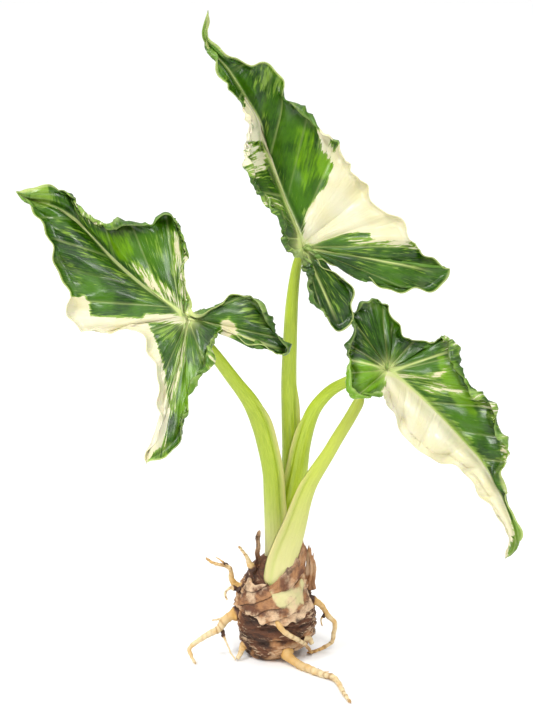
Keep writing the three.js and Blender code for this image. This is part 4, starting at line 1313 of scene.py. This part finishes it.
def plain_material(name, value, roughness):
    """An even grey."""
    recipe = Recipe(name)
    recipe.surface.inputs["Base Color"].default_value = (value, value, value, 1)
    recipe.surface.inputs["Roughness"].default_value = roughness
    recipe.surface.inputs["Specular IOR Level"].default_value = 0.0
    return recipe.material


def softbox(name, place, target, size, power):
    """A square area light that faces its target."""
    bpy.ops.object.light_add(type="AREA", location=place)
    light = bpy.context.active_object
    light.name = name
    light.data.size = size
    light.data.energy = power
    light.rotation_euler = (Vector(target) - Vector(place)).to_track_quat("-Z", "Y").to_euler()


class ALOCASIA_OT_stage(bpy.types.Operator):
    """Set up the floor, the lights and the camera"""

    bl_idname = "alocasia.stage"
    bl_label = "Stage"

    def execute(self, context):
        stage, scene = context.scene.alocasia_stage, context.scene
        bpy.ops.object.select_all(action="DESELECT")
        bpy.ops.mesh.primitive_plane_add(size=stage.floor)
        floor = context.active_object
        floor.name = "floor"
        floor.data.materials.append(plain_material("floor_paper", FLOOR_GREY, 0.9))
        target = Vector(stage.target)
        for name, place, aim, size, power in LIGHTS:
            softbox(name, place, aim or target, size, power)
        world = bpy.data.worlds.new("studio")
        world.use_nodes = True
        world.node_tree.nodes["Background"].inputs["Color"].default_value = (1, 1, 1, 1)
        world.node_tree.nodes["Background"].inputs["Strength"].default_value = ROOM_LIGHT
        scene.world = world
        scene.view_settings.view_transform = "Standard"
        look = Vector((0, math.cos(stage.lean), -math.sin(stage.lean)))
        bpy.ops.object.camera_add(location=target - look * stage.distance)
        camera = context.active_object
        camera.rotation_euler = look.to_track_quat("-Z", "Y").to_euler()
        camera.data.sensor_width = 36
        camera.data.lens = 18 * stage.distance / stage.half_height
        scene.camera = camera
        return {"FINISHED"}


class ALOCASIA_PT_panel(bpy.types.Panel):
    """Lists the plant's operators and settings"""

    bl_label = "Alocasia"
    bl_idname = "ALOCASIA_PT_panel"
    bl_space_type = "VIEW_3D"
    bl_region_type = "UI"
    bl_category = "Alocasia"

    def draw(self, context):
        for operator in OPERATORS:
            self.layout.operator(operator.bl_idname)
        for name in GROUPS:
            group = getattr(context.scene, name)
            for key in group.__annotations__:
                self.layout.prop(group, key)


GROUPS = {
    "alocasia_sizes": AlocasiaSizes,
    "alocasia_colours": AlocasiaColours,
    "alocasia_stage": AlocasiaStage,
}
OPERATORS = (
    ALOCASIA_OT_blades, ALOCASIA_OT_stalks, ALOCASIA_OT_corm, ALOCASIA_OT_leaf_bases, ALOCASIA_OT_roots,
    ALOCASIA_OT_stage,
)


def register():
    """Makes the settings, the operators and the panel known to Blender."""
    for made in (*GROUPS.values(), *OPERATORS, ALOCASIA_PT_panel):
        bpy.utils.register_class(made)
    for name, group in GROUPS.items():
        setattr(bpy.types.Scene, name, bpy.props.PointerProperty(type=group))


def unregister():
    """Takes back what register made known."""
    for name in GROUPS:
        delattr(bpy.types.Scene, name)
    for made in (ALOCASIA_PT_panel, *reversed(OPERATORS), *reversed(tuple(GROUPS.values()))):
        bpy.utils.unregister_class(made)


def main():
    """Builds the plant and its stage."""
    register()
    bpy.ops.alocasia.blades()
    bpy.ops.alocasia.stalks()
    bpy.ops.alocasia.corm()
    bpy.ops.alocasia.leaf_bases()
    bpy.ops.alocasia.roots()
    bpy.ops.alocasia.stage()


if __name__ == "__main__":
    main()
